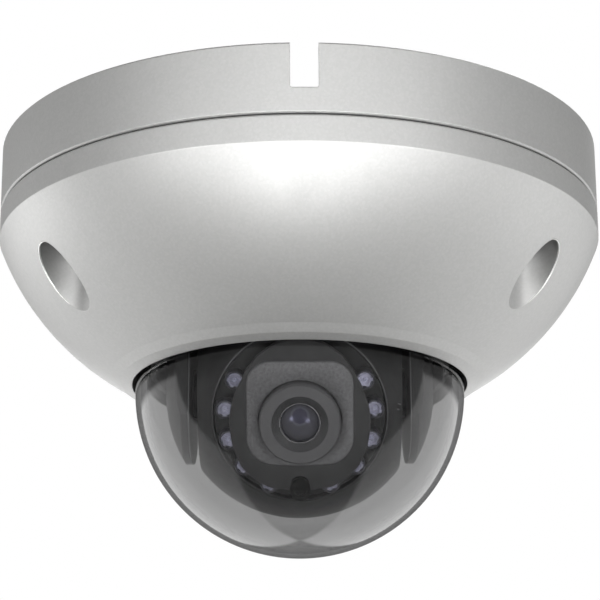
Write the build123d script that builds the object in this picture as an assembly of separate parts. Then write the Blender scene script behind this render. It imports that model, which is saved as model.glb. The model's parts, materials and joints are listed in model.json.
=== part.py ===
from build123d import *
import os
from math import cos, radians, sin, sqrt

os.makedirs("parts", exist_ok=True)

# A dome camera that hangs from a ceiling. The ceiling is z = 0 and the body hangs below it,
# so heights are negative. The front, where the lens looks, is -Y. Lengths are millimetres.

# Outside of the body
body_radius = 55.0
base_height = 12.4
seam_gap = 0.3
crease_drop = 4.73             # from the seam down to the crease where the side turns inwards
cover_arc_radius = 49.5        # below the crease the side is one arc in section
mouth_gap = 0.55               # between the bubble and the cover's lip
bubble_drop = 1.12             # the bubble's centre is this far below the lip
lip_round = 0.9
crease_round = 0.4
edge_break = 0.25

# Clearances used all over
running_clearance = 0.05
screw_gap = 0.15               # round a screw where it only passes through
thread_end = 0.5               # a threaded hole runs on past its screw's tip

# Mounting base
base_wall = 2.6
cable_space = 9.0              # depth of the hollow between the ceiling and the base's plate
base_plate = 2.2
notch_width = 4.7
notch_depth = 8.0
notch_offset = 1.0             # the side cable notch is a little right of the middle
notch_round = 0.4
ceiling_hole_radius = 2.25
ceiling_hole_inset = 15.0      # from the body's side in to the ceiling holes
ceiling_boss_wall = 2.25
ceiling_hole_angles = (45, 135, 225, 315)

# Cover, its screws and the seal in the seam
cover_wall = 2.0
cover_fit = 0.3                # the cover's wall is this much thinner than the base's
cover_screw_inset = 8.0        # from the body's side in to the cover screws
cover_screw_angles = (-60, 60, 180)
cover_boss_height = 5.8        # from the seam down to the seats of the cover screws
driver_room = 1.0              # round a screw head in its recess
recess_wall = 1.6
cover_screw_radius = 1.5
cover_screw_head = 3.5
cover_screw_head_height = 2.2
cover_screw_head_round = 0.7
cover_screw_length = 13.6
cover_hole_gap = 0.2
blind_wall = 1.5               # metal above the end of a cover screw's thread
star_radius = 1.35
star_lobe = 0.4
star_depth = 1.3
screw_washer = 0.6
seal_width = 1.4
seal_groove = 1.0

# Bubble and what clamps it
bubble_wall = 2.0
lip_height = 3.83              # from the lip up to the ledge that carries the bubble's flange
gasket_height = 0.8
gasket_gap = 0.2
flange_gap = 0.45              # between the flange and the cover's inside
flange_height = 1.8
clamp_gap = 0.4                # between the clamp ring and the cover's inside
clamp_bore_gap = 0.25
clamp_height = 1.5
clamp_boss_gap = 0.2
clamp_screw_radius = 0.9
clamp_screw_head = 1.7
clamp_screw_head_height = 1.5
clamp_screw_angles = (30, 120, 210, 300)
liner_gap = 0.45
liner_wall = 1.2
liner_drop = 0.27              # the liner's lower rim is this far below the lip

# Cable gland in the base's plate
gland_inset = 12.5             # from the body's side in to the gland
gland_angle = 100
gland_bore = 2.5
gland_stem = 4.5
gland_collar = 5.6
gland_collar_height = 1.4
gland_nozzle = 2.0
gland_nozzle_taper = 1.0
gland_plate_height = 1.2
gland_plate_gap = 0.8
gland_plate_end = 2.6          # from the outer screws to the plate's ends
gland_screw_spacing = 18.0
gland_screw_radius = 0.9
gland_screw_head = 1.8
gland_screw_head_height = 1.2
gland_screw_grip = 1.3         # how far the screws go into the base's plate
gland_post = 2.2

# Main board
board_gap = 3.8                # between the base's plate and the board
board_height = 1.6
board_edge_gap = 0.5           # between the board and the bracket's posts
board_screw_inset = 3.5
board_screw_angles = (35, 125, 215, 305)
board_screw_radius = 1.2
board_screw_head = 2.2
board_screw_head_height = 1.6
board_screw_grip = 0.8
board_post = 2.6
processor_side = 14.0
processor_height = 1.4
pad_inset = 0.5
memory_width = 8.0
memory_length = 11.0
memory_height = 1.1
memory_spacing = 17.0
memory_forward = 12.0
can_radius = 3.1
can_height = 6.0
can_round = 0.5
can_spacing = 8.0
can_inset = 7.0                # from the board's edge, as the next insets
transformer_size = (9.0, 12.0, 5.0)
transformer_inset = 8.2
transformer_angle = 68
network_socket_size = (6.0, 9.0, 5.5)
network_socket_inset = 7.6
network_socket_angle = 104
power_socket_size = (7.0, 5.0, 5.5)
power_socket_inset = 6.6
power_socket_angle = 138
socket_wall = 0.7
socket_floor = 1.5
flat_socket_size = (9.0, 4.0, 2.2)
flat_socket_back = 9.0
card_length = 15.0
card_width = 11.0
card_height = 1.0
card_corner = 1.2
card_shows = 2.5               # how far the card stands out of its socket
card_gap = 0.1
card_shell = 0.35
card_socket_land = 1.75
card_inset = 10.5
card_back = 4.0
switch_side = 6.0
switch_height = 3.5
button_inset = 6.5
button_radius = 1.7
button_travel = 0.25
button_shows = 1.5
button_root = 0.5
button_edge = 0.3

# Pan: a bracket on three posts, and the yoke that turns in it
post_inset = 18.2              # from the body's side in to the posts
post_angles = (-75, 75, 180)
post_radius = 2.8
post_stud = 1.4
post_stud_grip = 1.6
post_screw_radius = 1.2
post_screw_head = 2.3
post_screw_head_height = 1.6
post_screw_grip = 8.0
component_space = 8.4          # between the board and the bracket
bracket_height = 2.2
bracket_land = 8.0             # how far the bracket stands out round the hub
hub_inset = 4.2                # from the yoke's outside in to its hub
hub_wall = 2.8
hub_rise = 0.4                 # how far the hub stands above the bracket
hub_ball_gap = 0.65            # round the ball where it stands up into the hub
yoke_flange = 2.0
yoke_room = 1.9                # between the yoke and the liner
arm_thickness = 5.0
arm_half_width = 11.0
arm_end_radius = 12.8
arm_gap = 1.6                  # between each arm and the ball's flat side, for the washer
pan_washer = 0.25
washer_gap = 0.1
pan_ring_height = 1.2
pan_ring_land = 3.0
pan_ring_screw = 0.65
pan_ring_screw_head = 1.3
pan_ring_screw_head_height = 0.9
pan_ring_screw_grip = 3.4
pan_ring_screw_angles = (30, 150, 270)

# Ball
ball_wall = 1.6
flat_depth = 4.9               # from the ball's round outside to its flat sides
ball_split = -4.2              # the joint between front and rear shell, along the lens axis
aim_below_level = 28.0         # how far the lens points below level as the camera hangs
pivot_radius = 2.0
pivot_thread = 1.4
pivot_thread_length = 3.7
pivot_boss = 3.6
pivot_boss_length = 4.0
pivot_boss_gap = 1.4           # between the bosses and the lens holder
pivot_head = 3.3
pivot_head_gap = 0.3
pivot_head_height = 1.9
pivot_head_sunk = 0.6
pivot_head_edge = 0.5
pivot_socket = 1.1
pivot_socket_depth = 1.0
pivot_washer_radius = 4.5
ball_screw_inset = 4.16        # from the ball's outside in to the shells' screws
ball_screw_angle = 42.1        # up or down from the ball's sides
ball_screw_radius = 0.75
ball_screw_head = 1.5
ball_screw_head_height = 1.2
ball_screw_grip = 4.3
ball_boss = 2.6
ball_boss_front = 5.5
ball_boss_rear = 4.5
ball_boss_bore = 1.8
cable_slot_width = 9.0

# Head: the lens, lights and sensor, which turn in the ball round the lens axis
light_circle = 12.75
light_radius = 1.65
light_height = 3.3
light_spacing = 24             # degrees between the lights
light_wall_gap = 0.3           # between the lights and the head's outside
light_collar_gap = 0.1
light_board_height = 1.0
cell_width = 3.4
cell_length = 4.1
cell_height = 3.2
cell_inset = 0.2               # the sensor is a little inside the circle of the lights
cell_wall = 0.6
cell_dish = 0.8
head_gap = 0.1                 # between the head and the ball's bore
head_wall = 0.8
head_lip = 0.4                 # the ball's bore opens out by this at its rim
floor_drop = 2.2               # from the ball's rim back to the head's floor
head_floor_height = 1.5
head_flange_width = 1.1
head_flange_drop = 3.7         # from the floor back to the flange's rear face
head_flange_height = 1.4
head_ring_height = 1.2
head_ring_width = 2.7
head_ring_screw = 0.65
head_ring_screw_head = 1.1
head_ring_screw_head_height = 0.9
head_ring_screw_grip = 2.4
head_ear_reach = 1.2           # from the flange's edge out to the ring's screws
head_ear_width = 4.0
head_ear_end = 0.6
collar_brim_width = 0.6
collar_brim_height = 2.0
collar_brim_round = 0.3
collar_brim_edge = 0.4
collar_length = 6.6            # forward from the floor, as the next two
face_reach = 7.0
barrel_reach = 9.1
face_side = 18.6
face_corner = 2.6
face_height = 1.2
face_edge_round = 0.3
face_rim = 0.5                 # between the face plate and the collar's outside
face_offset = 1.2              # the face plate's middle is above the lens

# Lens and what is behind it
barrel_radius = 6.9
barrel_thread = 6.0
barrel_length = 14.5
barrel_step = 6.1              # from the front back to where the thread starts
barrel_edge = 0.3
dish_radius = 4.8
dish_depth = 0.9
aperture_radius = 3.3
aperture_lip = 0.6
glass_radius = 4.4
glass_gap = 0.1
glass_seat_gap = 0.05
front_glass_height = 2.4
rear_glass_height = 2.2
glass_curve = 5.4
front_glass_rise = 0.85
rear_glass_rise = 0.8
rear_glass_reach = 3.2
hollow_curve = 3.6
hollow_depth = 1.4
spacer_length = 3.6
spacer_wall = 0.9
lens_ring_height = 1.2
lens_ring_bore = 3.1
holder_radius = 8.0
holder_reach = 2.6             # forward from the floor
holder_gap = 0.15
holder_width = 24.4
holder_depth = 15.0
holder_foot_height = 1.8
holder_foot_back = 7.6         # from the floor back to the foot's rear face
holder_flange = 10.6
holder_flange_height = 1.5
holder_bore = 4.5
holder_screw_circle = 9.7
holder_screw_radius = 0.75
holder_screw_head = 1.3
holder_screw_head_height = 1.0
holder_screw_cover = 0.5
holder_lug_width = 3.6
tray_room = 4.4                # from the foot back to the sensor board's front
tray_step = 2.6                # of that, the wider part
tray_waist = 16.0
tray_post = 1.2
tray_window = 10.4
tray_window_depth = 9.0
tray_travel_width = 22.0
tray_travel_depth = 10.6
tray_travel_height = 1.8
tray_screw_place = (10.4, 6.3)
tray_screw_radius = 0.55
tray_screw_gap = 0.05
tray_screw_head = 1.0
tray_screw_head_height = 0.8
tray_screw_grip = 1.2
coil_size = (8.0, 3.4)
sensor_board_radius = 13.0
sensor_board_width = 23.2
sensor_board_depth = 19.0
sensor_board_height = 1.4
image_sensor_size = (9.4, 8.0, 1.2)
sensor_socket_size = (9.0, 4.0, 1.8)
filter_travel = 6.4
filter_side = 6.0
filter_height = 0.5
filter_frame_end = 1.1
filter_frame_depth = 10.2
filter_frame_height = 1.65
filter_frame_gap = 0.05
filter_ledge = 0.9
filter_ledge_width = 0.3
ribbon_width = 6.0
ribbon_height = 0.5
ribbon_bend = 2.5
ribbon_reach = 9.0             # straight out of the sensor board's socket
ribbon_drop = 2.0

# Heights below the ceiling that follow from these, from the top down
base_floor = -(cable_space + base_plate)
cover_top = -(base_height + seam_gap)
crease = cover_top - crease_drop
recess_floor = cover_top - cover_boss_height
board_top = base_floor - board_gap
board_under = board_top - board_height
bracket_top = board_under - component_space
bracket_under = bracket_top - bracket_height
hub_top = bracket_top + hub_rise
yoke_flange_top = bracket_under - seam_gap
yoke_flange_under = yoke_flange_top - yoke_flange

# Sizes of the ball and of what is round it, from the inside outwards
pivot_boss_inside = holder_width / 2 + pivot_boss_gap
ball_flat = pivot_boss_inside + pivot_boss_length
arm_inside = ball_flat + arm_gap
yoke_radius = arm_inside + arm_thickness
ball_radius = ball_flat + flat_depth
hub_radius = yoke_radius - hub_inset
hub_bore = hub_radius - hub_wall
bracket_radius = hub_radius + bracket_land
pan_ring_radius = hub_radius + pan_ring_land
liner_inner = yoke_radius + yoke_room
liner_outer = liner_inner + liner_wall
bubble_inner = liner_outer + liner_gap
bubble_radius = bubble_inner + bubble_wall
mouth_radius = bubble_radius + mouth_gap

# Heights of the ball, the bubble and what clamps it
ball_centre = yoke_flange_under - sqrt(ball_radius**2 - (hub_bore - hub_ball_gap) ** 2)
lip = ball_centre + bubble_drop
ledge = lip + lip_height
flange_low = ledge + gasket_height
flange_top = flange_low + flange_height
clamp_top = flange_top + clamp_height
liner_top = clamp_top + liner_wall
liner_mouth = lip - liner_drop
ball_place = Pos(0, 0, ball_centre)
aim = ball_place * Rot(90 + aim_below_level, 0, 0)

# Circles on the base and the cover
ceiling_hole_circle = body_radius - ceiling_hole_inset
ceiling_boss_radius = ceiling_hole_radius + ceiling_boss_wall
cover_screw_circle = body_radius - cover_screw_inset
recess_radius = cover_screw_head + driver_room
gland_circle = body_radius - gland_inset
post_circle = body_radius - post_inset
board_radius = post_circle - post_radius - board_edge_gap
board_screw_circle = board_radius - board_screw_inset

# The head's sizes, and its heights forward from the ball's centre along the lens axis
head_radius = light_circle + light_radius + light_wall_gap
head_bore = head_radius + head_gap
head_flange_radius = head_radius + head_flange_width
head_ear = head_flange_radius + head_ear_reach
collar_radius = light_circle - light_radius - light_collar_gap
collar_brim = collar_radius + collar_brim_width
cell_circle = light_circle - cell_inset
ball_rim = sqrt(ball_radius**2 - (head_bore + head_lip) ** 2)
head_floor = ball_rim - floor_drop
head_floor_back = head_floor - head_floor_height
head_flange_back = head_floor - head_flange_drop
light_board_front = head_floor + light_board_height
collar_front = head_floor + collar_length
face_front = head_floor + face_reach
barrel_front = head_floor + barrel_reach
holder_front = head_floor + holder_reach
foot_back = head_floor - holder_foot_back
foot_front = foot_back + holder_foot_height
sensor_front = foot_back - tray_room
sensor_board_back = sensor_front - sensor_board_height


def cylinder(radius, low, high, place=(0, 0)):
    """A disc between two heights."""
    return Pos(place[0], place[1], low) * extrude(Circle(radius), high - low)


def tube(outer, inner, low, high, place=(0, 0)):
    """A round wall between two heights."""
    return cylinder(outer, low, high, place) - cylinder(inner, low, high, place)


def block(width, depth, low, high, place=(0, 0)):
    """A rectangular block between two heights."""
    return Pos(place[0], place[1], low) * extrude(Rectangle(width, depth), high - low)


def across(radius, start, end):
    """A rod along X."""
    return Plane.YZ.offset(start) * extrude(Circle(radius), end - start)


def spun(face):
    """A solid from its half section, drawn as distance from the axis and height."""
    return revolve(Plane.XZ * face, Axis.Z)


def around(radius, angle):
    """A place on a circle. Angles run from the front, towards +X."""
    return (radius * sin(radians(angle)), -radius * cos(radians(angle)))


def side_centre():
    """The centre of the cover side's arc, which runs from the crease in to the lip."""
    run = body_radius - mouth_radius
    rise = crease - lip
    half = sqrt(run**2 + rise**2) / 2
    back = sqrt(cover_arc_radius**2 - half**2) / (2 * half)
    out = (body_radius + mouth_radius) / 2 - back * rise
    return (out, (crease + lip) / 2 + back * run)


def side_radius(height, inward=0.0):
    """How far the cover's arc is from the axis at a height, or a wall further in."""
    out, up = side_centre()
    return out + sqrt((cover_arc_radius - inward) ** 2 - (height - up) ** 2)


def side_height(radius, inward=0.0):
    """The height at which the cover's arc reaches a distance from the axis."""
    out, up = side_centre()
    return up - sqrt((cover_arc_radius - inward) ** 2 - (radius - out) ** 2)


def side_middle(start, end, inward=0.0):
    """The arc's point halfway between two heights."""
    height = (start + end) / 2
    return (side_radius(height, inward), height)


def nearest(shape, point):
    """The corner of a flat outline that is nearest to a point."""
    return shape.vertices().sort_by_distance((point[0], point[1], 0))[0]


def save(node, *solids):
    """Write one sub-part, which may be several separate solids."""
    shape = solids[0] if len(solids) == 1 else Compound(list(solids))
    export_step(shape, f"parts/{node}.step")


def screw(radius, head_radius, seat, tip, head_height, place):
    """A pan head screw driven upwards: head below its seat, shank up to its tip."""
    head = cylinder(head_radius, seat - head_height, seat, place)
    head = chamfer(head.edges().sort_by(Axis.Z)[0], head_height / 3)
    arm = head_radius * 0.9
    slot = head_radius * 0.25
    cross = block(arm, slot, seat - head_height, seat - head_height / 2, place)
    cross += block(slot, arm, seat - head_height, seat - head_height / 2, place)
    return head - cross + cylinder(radius, seat, tip, place)


def cover_screw_tip():
    return recess_floor - screw_washer + cover_screw_length


def mounting_base():
    wall = tube(body_radius, body_radius - base_wall, -base_height, 0)
    top_edges = wall.edges().filter_by(GeomType.CIRCLE).sort_by(SortBy.RADIUS)[-2:]
    base = chamfer(top_edges, edge_break)
    base += cylinder(body_radius - base_wall / 2, base_floor, -cable_space)
    thread_top = cover_screw_tip() + thread_end
    for angle in ceiling_hole_angles:
        base += cylinder(ceiling_boss_radius, base_floor, 0, around(ceiling_hole_circle, angle))
    for angle in cover_screw_angles:
        place = around(cover_screw_circle, angle)
        base += cylinder(recess_radius, cover_top, thread_top + blind_wall, place)
    for angle in board_screw_angles:
        base += cylinder(board_post, board_top, base_floor, around(board_screw_circle, angle))
    collar_low = base_floor - gland_collar_height
    for place in gland_screw_places():
        base += cylinder(gland_post, collar_low, base_floor, place)
    for angle in ceiling_hole_angles:
        base -= cylinder(ceiling_hole_radius, base_floor, 0, around(ceiling_hole_circle, angle))
    for angle in cover_screw_angles:
        place = around(cover_screw_circle, angle)
        base -= cylinder(cover_screw_radius + running_clearance, cover_top, thread_top, place)
    for angle in board_screw_angles:
        place = around(board_screw_circle, angle)
        top = base_floor + board_screw_grip + thread_end
        base -= cylinder(board_screw_radius + running_clearance, board_top, top, place)
    for angle in post_angles:
        place = around(post_circle, angle)
        top = base_floor + post_stud_grip
        base -= cylinder(post_stud + running_clearance, base_floor, top, place)
    for place in gland_screw_places():
        top = base_floor + gland_screw_grip + thread_end
        base -= cylinder(gland_screw_radius + running_clearance, collar_low, top, place)
    base -= cylinder(gland_stem + running_clearance, base_floor, -cable_space, gland_place())
    seal_outer = body_radius - (base_wall - seal_width) / 2
    base -= tube(seal_outer, seal_outer - seal_width, -base_height, -base_height + seal_groove)
    notch = block(notch_width, 4 * base_wall, -notch_depth, 0, (notch_offset, -body_radius))
    notch_corners = notch.edges().filter_by(Axis.Y).sort_by(Axis.Z)[:2]
    base -= fillet(notch_corners, notch_round)
    save("mounting_base", base)
    seal_top = -base_height + seal_groove - running_clearance
    seal_inner = seal_outer - seal_width + running_clearance
    save("cover_seal", tube(seal_outer - running_clearance, seal_inner, cover_top, seal_top))


def clamp_circle():
    """The circle of the clamp ring's screws: midway from the flange's to the ring's outside."""
    return (flange_radius() + clamp_radius()) / 2


def flange_radius():
    """The bubble's flange fits inside the cover's side, at the ledge."""
    return side_radius(ledge, cover_wall) - flange_gap


def clamp_radius():
    """The clamp ring fits inside the cover's side, a little further up."""
    return side_radius(flange_top, cover_wall) - clamp_gap


def front_cover():
    outline = Polyline(
        (body_radius, crease),
        (body_radius, cover_top),
        (0, cover_top),
        (0, lip),
        (mouth_radius, lip),
    )
    side = ThreePointArc((mouth_radius, lip), side_middle(lip, crease), (body_radius, crease))
    section = make_face(outline + side)
    section = fillet(nearest(section, (body_radius, crease)), crease_round)
    section = chamfer(nearest(section, (body_radius, cover_top)), edge_break)
    outside = spun(section)
    inner_radius = body_radius - base_wall + cover_fit
    inner_crease = side_height(inner_radius, cover_wall)
    shelf_radius = side_radius(ledge, cover_wall)
    inner_outline = Polyline(
        (inner_radius, inner_crease),
        (inner_radius, cover_top),
        (0, cover_top),
        (0, ledge),
        (shelf_radius, ledge),
    )
    inner_side = ThreePointArc(
        (shelf_radius, ledge),
        side_middle(ledge, inner_crease, cover_wall),
        (inner_radius, inner_crease),
    )
    hollow = spun(make_face(inner_outline + inner_side))
    for angle in cover_screw_angles:
        place = around(cover_screw_circle, angle)
        hollow -= cylinder(recess_radius + recess_wall, lip, cover_top, place)
    boss = clamp_circle() - flange_radius() - clamp_boss_gap
    for angle in clamp_screw_angles:
        hollow -= cylinder(boss, ledge, flange_top, around(clamp_circle(), angle))
    cover = outside - hollow - cylinder(mouth_radius, lip, ledge)
    mouth_edge = cover.edges().filter_by(GeomType.CIRCLE).sort_by(Axis.Z)[0]
    cover = fillet(mouth_edge, lip_round)
    for angle in cover_screw_angles:
        place = around(cover_screw_circle, angle)
        cover -= cylinder(recess_radius, lip, recess_floor, place)
        cover -= cylinder(cover_screw_radius + cover_hole_gap, recess_floor, cover_top, place)
    for angle in clamp_screw_angles:
        pilot = clamp_screw_radius + running_clearance
        cover -= cylinder(pilot, ledge - thread_end, flange_top, around(clamp_circle(), angle))
    save("front_cover", cover)


def cover_screws():
    screws = []
    washers = []
    seat = recess_floor - screw_washer
    low = seat - cover_screw_head_height
    for angle in cover_screw_angles:
        place = around(cover_screw_circle, angle)
        head = cylinder(cover_screw_head, low, seat, place)
        head = fillet(head.edges().sort_by(Axis.Z)[0], cover_screw_head_round)
        star = cylinder(star_radius, low, low + star_depth, place)
        for lobe in range(6):
            out = around(star_radius, 60 * lobe)
            lobe_place = (place[0] + out[0], place[1] + out[1])
            star += cylinder(star_lobe, low, low + star_depth, lobe_place)
        star -= cylinder(star_lobe, low, low + star_depth, place)
        shank = cylinder(cover_screw_radius, seat, cover_screw_tip(), place)
        screws.append(head - star + shank)
        bore = cover_screw_radius + running_clearance
        washers.append(tube(cover_screw_head, bore, seat, recess_floor, place))
    save("cover_screws", *screws)
    save("cover_screw_washers", *washers)


def bubble():
    outline = Polyline(
        (bubble_inner, ball_centre),
        (bubble_inner, flange_top),
        (flange_radius(), flange_top),
        (flange_radius(), flange_low),
        (bubble_radius, flange_low),
        (bubble_radius, ball_centre),
    )
    outer_dome = CenterArc((0, ball_centre), bubble_radius, 270, 90)
    inner_dome = CenterArc((0, ball_centre), bubble_inner, 270, 90)
    bottom = Line((0, ball_centre - bubble_radius), (0, ball_centre - bubble_inner))
    save("bubble", spun(make_face(outline + outer_dome + inner_dome + bottom)))
    save("bubble_gasket", tube(flange_radius(), mouth_radius + gasket_gap, ledge, flange_low))


def bubble_clamp():
    clamp = tube(clamp_radius(), bubble_radius + clamp_bore_gap, flange_top, clamp_top)
    liner = tube(clamp_radius() - clamp_gap, liner_inner, clamp_top, liner_top)
    liner += tube(liner_outer, liner_inner, liner_mouth, liner_top)
    screws = []
    for angle in clamp_screw_angles:
        place = around(clamp_circle(), angle)
        hole = cylinder(clamp_screw_radius + screw_gap, flange_top, liner_top, place)
        clamp -= hole
        liner -= hole
        screws.append(
            screw(
                clamp_screw_radius,
                clamp_screw_head,
                -liner_top,
                -ledge,
                clamp_screw_head_height,
                (place[0], -place[1]),
            )
        )
    save("bubble_clamp_ring", clamp)
    save("inner_liner", liner)
    save("clamp_ring_screws", *[Rot(180, 0, 0) * one for one in screws])


def gland_place():
    return around(gland_circle, gland_angle)


def gland_screw_places():
    x, y = gland_place()
    return [(x, y - gland_screw_spacing / 2), (x, y + gland_screw_spacing / 2)]


def cable_gland():
    place = gland_place()
    collar_low = base_floor - gland_collar_height
    top = -cable_space + gland_nozzle
    gland = cylinder(gland_collar, collar_low, base_floor, place)
    gland += cylinder(gland_stem, base_floor, -cable_space, place)
    nozzle = cylinder(gland_stem, -cable_space, top, place)
    gland += chamfer(nozzle.edges().sort_by(Axis.Z)[-1], gland_nozzle_taper)
    gland -= cylinder(gland_bore, collar_low, top, place)
    save("cable_gland", gland)
    plate_low = collar_low - gland_plate_height
    length = gland_screw_spacing + 2 * gland_plate_end
    plate = Pos(place[0], place[1], plate_low) * extrude(
        SlotOverall(length, 2 * gland_stem, rotation=90), gland_plate_height
    )
    plate -= cylinder(gland_bore + gland_plate_gap, plate_low, collar_low, place)
    tip = base_floor + gland_screw_grip
    height = gland_screw_head_height
    screws = []
    for hole in gland_screw_places():
        plate -= cylinder(gland_screw_radius + screw_gap, plate_low, collar_low, hole)
        screws.append(screw(gland_screw_radius, gland_screw_head, plate_low, tip, height, hole))
    save("gland_plate", plate)
    save("gland_plate_screws", *screws)


def below_board(size, place):
    """A box on the board's underside, from its width, depth and height."""
    return block(size[0], size[1], board_under - size[2], board_under, place)


def main_board():
    board = cylinder(board_radius, board_under, board_top)
    tip = base_floor + board_screw_grip
    height = board_screw_head_height
    screws = []
    for angle in board_screw_angles:
        place = around(board_screw_circle, angle)
        board -= cylinder(board_screw_radius + screw_gap, board_under, board_top, place)
        screws.append(screw(board_screw_radius, board_screw_head, board_under, tip, height, place))
    save("main_board", board)
    save("board_screws", *screws)
    chip_top = board_top + processor_height
    pad_side = processor_side - 2 * pad_inset
    save("processor", block(processor_side, processor_side, board_top, chip_top))
    save("thermal_pad", block(pad_side, pad_side, chip_top, base_floor))
    memory_size = (memory_width, memory_length, memory_height)
    aside = memory_spacing / 2
    save("memory_chips", *[below_board(memory_size, (x, -memory_forward)) for x in (-aside, aside)])
    cans = []
    for x in (-can_spacing, 0, can_spacing):
        place = (x, board_radius - can_inset)
        can = cylinder(can_radius, board_under - can_height, board_under, place)
        cans.append(fillet(can.edges().sort_by(Axis.Z)[0], can_round))
    save("capacitors", *cans)
    transformer_place = around(board_radius - transformer_inset, transformer_angle)
    save("network_transformer", below_board(transformer_size, transformer_place))
    network_place = around(board_radius - network_socket_inset, network_socket_angle)
    power_place = around(board_radius - power_socket_inset, power_socket_angle)
    network = socket_shell(network_socket_size, network_place)
    power = socket_shell(power_socket_size, power_place)
    flat = below_board(flat_socket_size, (0, flat_socket_back))
    save("cable_sockets", network, power, flat)


def socket_shell(size, place):
    """A board socket: a box with an open well and its pins' block left inside."""
    width = size[0] - 2 * socket_wall
    depth = size[1] - 2 * socket_wall
    well = block(width, depth, board_under - size[2], board_under - socket_floor, place)
    return below_board(size, place) - well


def card_and_button():
    middle = (-(board_radius - card_inset), card_back)
    slot_height = card_height + card_gap
    low = board_under - slot_height - 2 * card_shell
    socket_width = card_width + 2 * card_socket_land
    socket = block(card_length, socket_width, low, board_under, middle)
    slot_low = low + card_shell
    slot_length = card_length - card_shows + 2 * card_gap
    slot_middle = (middle[0] - card_shows / 2, middle[1])
    slot_width = card_width + 2 * card_gap
    socket -= block(slot_length, slot_width, slot_low, slot_low + slot_height, slot_middle)
    save("card_socket", socket)
    card_middle = (middle[0] - card_shows, middle[1])
    card_low = slot_low + card_gap / 2
    card = block(card_length, card_width, card_low, card_low + card_height, card_middle)
    corner = card.edges().filter_by(Axis.Z).sort_by(Axis.X)[-1]
    save("memory_card", chamfer(corner, card_corner))
    place = (0, -(board_radius - button_inset))
    switch_low = board_under - switch_height
    switch = below_board((switch_side, switch_side, switch_height), place)
    root = switch_low + button_root
    bore_top = root + button_travel + running_clearance
    switch -= cylinder(button_radius + running_clearance, switch_low, bore_top, place)
    save("reset_switch", switch)
    button = cylinder(button_radius, switch_low - button_shows, root, place)
    save("reset_button", chamfer(button.edges().sort_by(Axis.Z)[0], button_edge))


def pan_bracket():
    bracket = cylinder(bracket_radius, bracket_under, bracket_top)
    posts = []
    screws = []
    for angle in post_angles:
        ear = block(2 * post_radius, post_circle, bracket_under, bracket_top, (0, -post_circle / 2))
        ear += cylinder(post_radius, bracket_under, bracket_top, (0, -post_circle))
        bracket += Rot(0, 0, angle) * ear
    tip = bracket_top + post_screw_grip
    height = post_screw_head_height
    for angle in post_angles:
        place = around(post_circle, angle)
        bracket -= cylinder(post_screw_radius + screw_gap, bracket_under, bracket_top, place)
        bar = extrude(RegularPolygon(post_radius, 6, major_radius=False), base_floor - bracket_top)
        post = Pos(place[0], place[1], bracket_top) * bar
        post += cylinder(post_stud, base_floor, base_floor + post_stud_grip - running_clearance, place)
        bore = post_screw_radius + running_clearance
        posts.append(post - cylinder(bore, bracket_top, tip + thread_end, place))
        screws.append(screw(post_screw_radius, post_screw_head, bracket_under, tip, height, place))
    bracket -= cylinder(hub_radius + running_clearance, bracket_under, bracket_top)
    save("pan_bracket", bracket)
    save("bracket_posts", *posts)
    save("bracket_screws", *screws)
    washer_top = yoke_flange_top + pan_washer
    washer_bore = hub_radius + washer_gap
    save("pan_washer", tube(yoke_radius, washer_bore, yoke_flange_top, washer_top))


def yoke():
    flange = tube(yoke_radius, hub_bore, yoke_flange_under, yoke_flange_top)
    hub = tube(hub_radius, hub_bore, yoke_flange_top, hub_top)
    round_bar = cylinder(yoke_radius, ball_centre, yoke_flange_under)
    round_bar += ball_place * Sphere(yoke_radius)
    end_low = ball_centre - yoke_radius
    end_high = ball_centre + yoke_radius
    arms = []
    for side in (-1, 1):
        middle = (side * (arm_inside + arm_thickness / 2), 0)
        width = 2 * arm_half_width
        upright = block(arm_thickness, width, ball_centre, yoke_flange_under, middle)
        start = arm_inside if side > 0 else -yoke_radius
        end = ball_place * across(arm_end_radius, start, start + arm_thickness)
        end &= block(arm_thickness, width, end_low, end_high, middle)
        arm = (upright + end) & round_bar
        arm -= ball_place * across(pivot_radius + running_clearance, -yoke_radius, yoke_radius)
        pocket_start = pivot_seat() if side > 0 else -yoke_radius
        pocket_end = yoke_radius if side > 0 else -pivot_seat()
        arm -= ball_place * across(pivot_head + pivot_head_gap, pocket_start, pocket_end)
        arms.append(arm)
    body = flange + hub + arms[0] + arms[1]
    ring_top = hub_top + pan_ring_height
    ring = tube(pan_ring_radius, hub_bore, hub_top, ring_top)
    screw_circle = (hub_radius + hub_bore) / 2
    tip = hub_top - pan_ring_screw_grip
    height = pan_ring_screw_head_height
    pilot = pan_ring_screw + running_clearance
    screws = []
    for angle in pan_ring_screw_angles:
        place = around(screw_circle, angle)
        body -= cylinder(pilot, tip - running_clearance, hub_top, place)
        ring -= cylinder(pilot, hub_top, ring_top, place)
        flipped = (place[0], -place[1])
        one = screw(pan_ring_screw, pan_ring_screw_head, -ring_top, -tip, height, flipped)
        screws.append(Rot(180, 0, 0) * one)
    save("yoke", body)
    save("pan_retaining_ring", ring)
    save("pan_ring_screws", *screws)


def pivot_seat():
    """Where the pivot screws' heads bear in the arms, from the middle."""
    return yoke_radius - pivot_head_height - pivot_head_sunk


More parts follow.
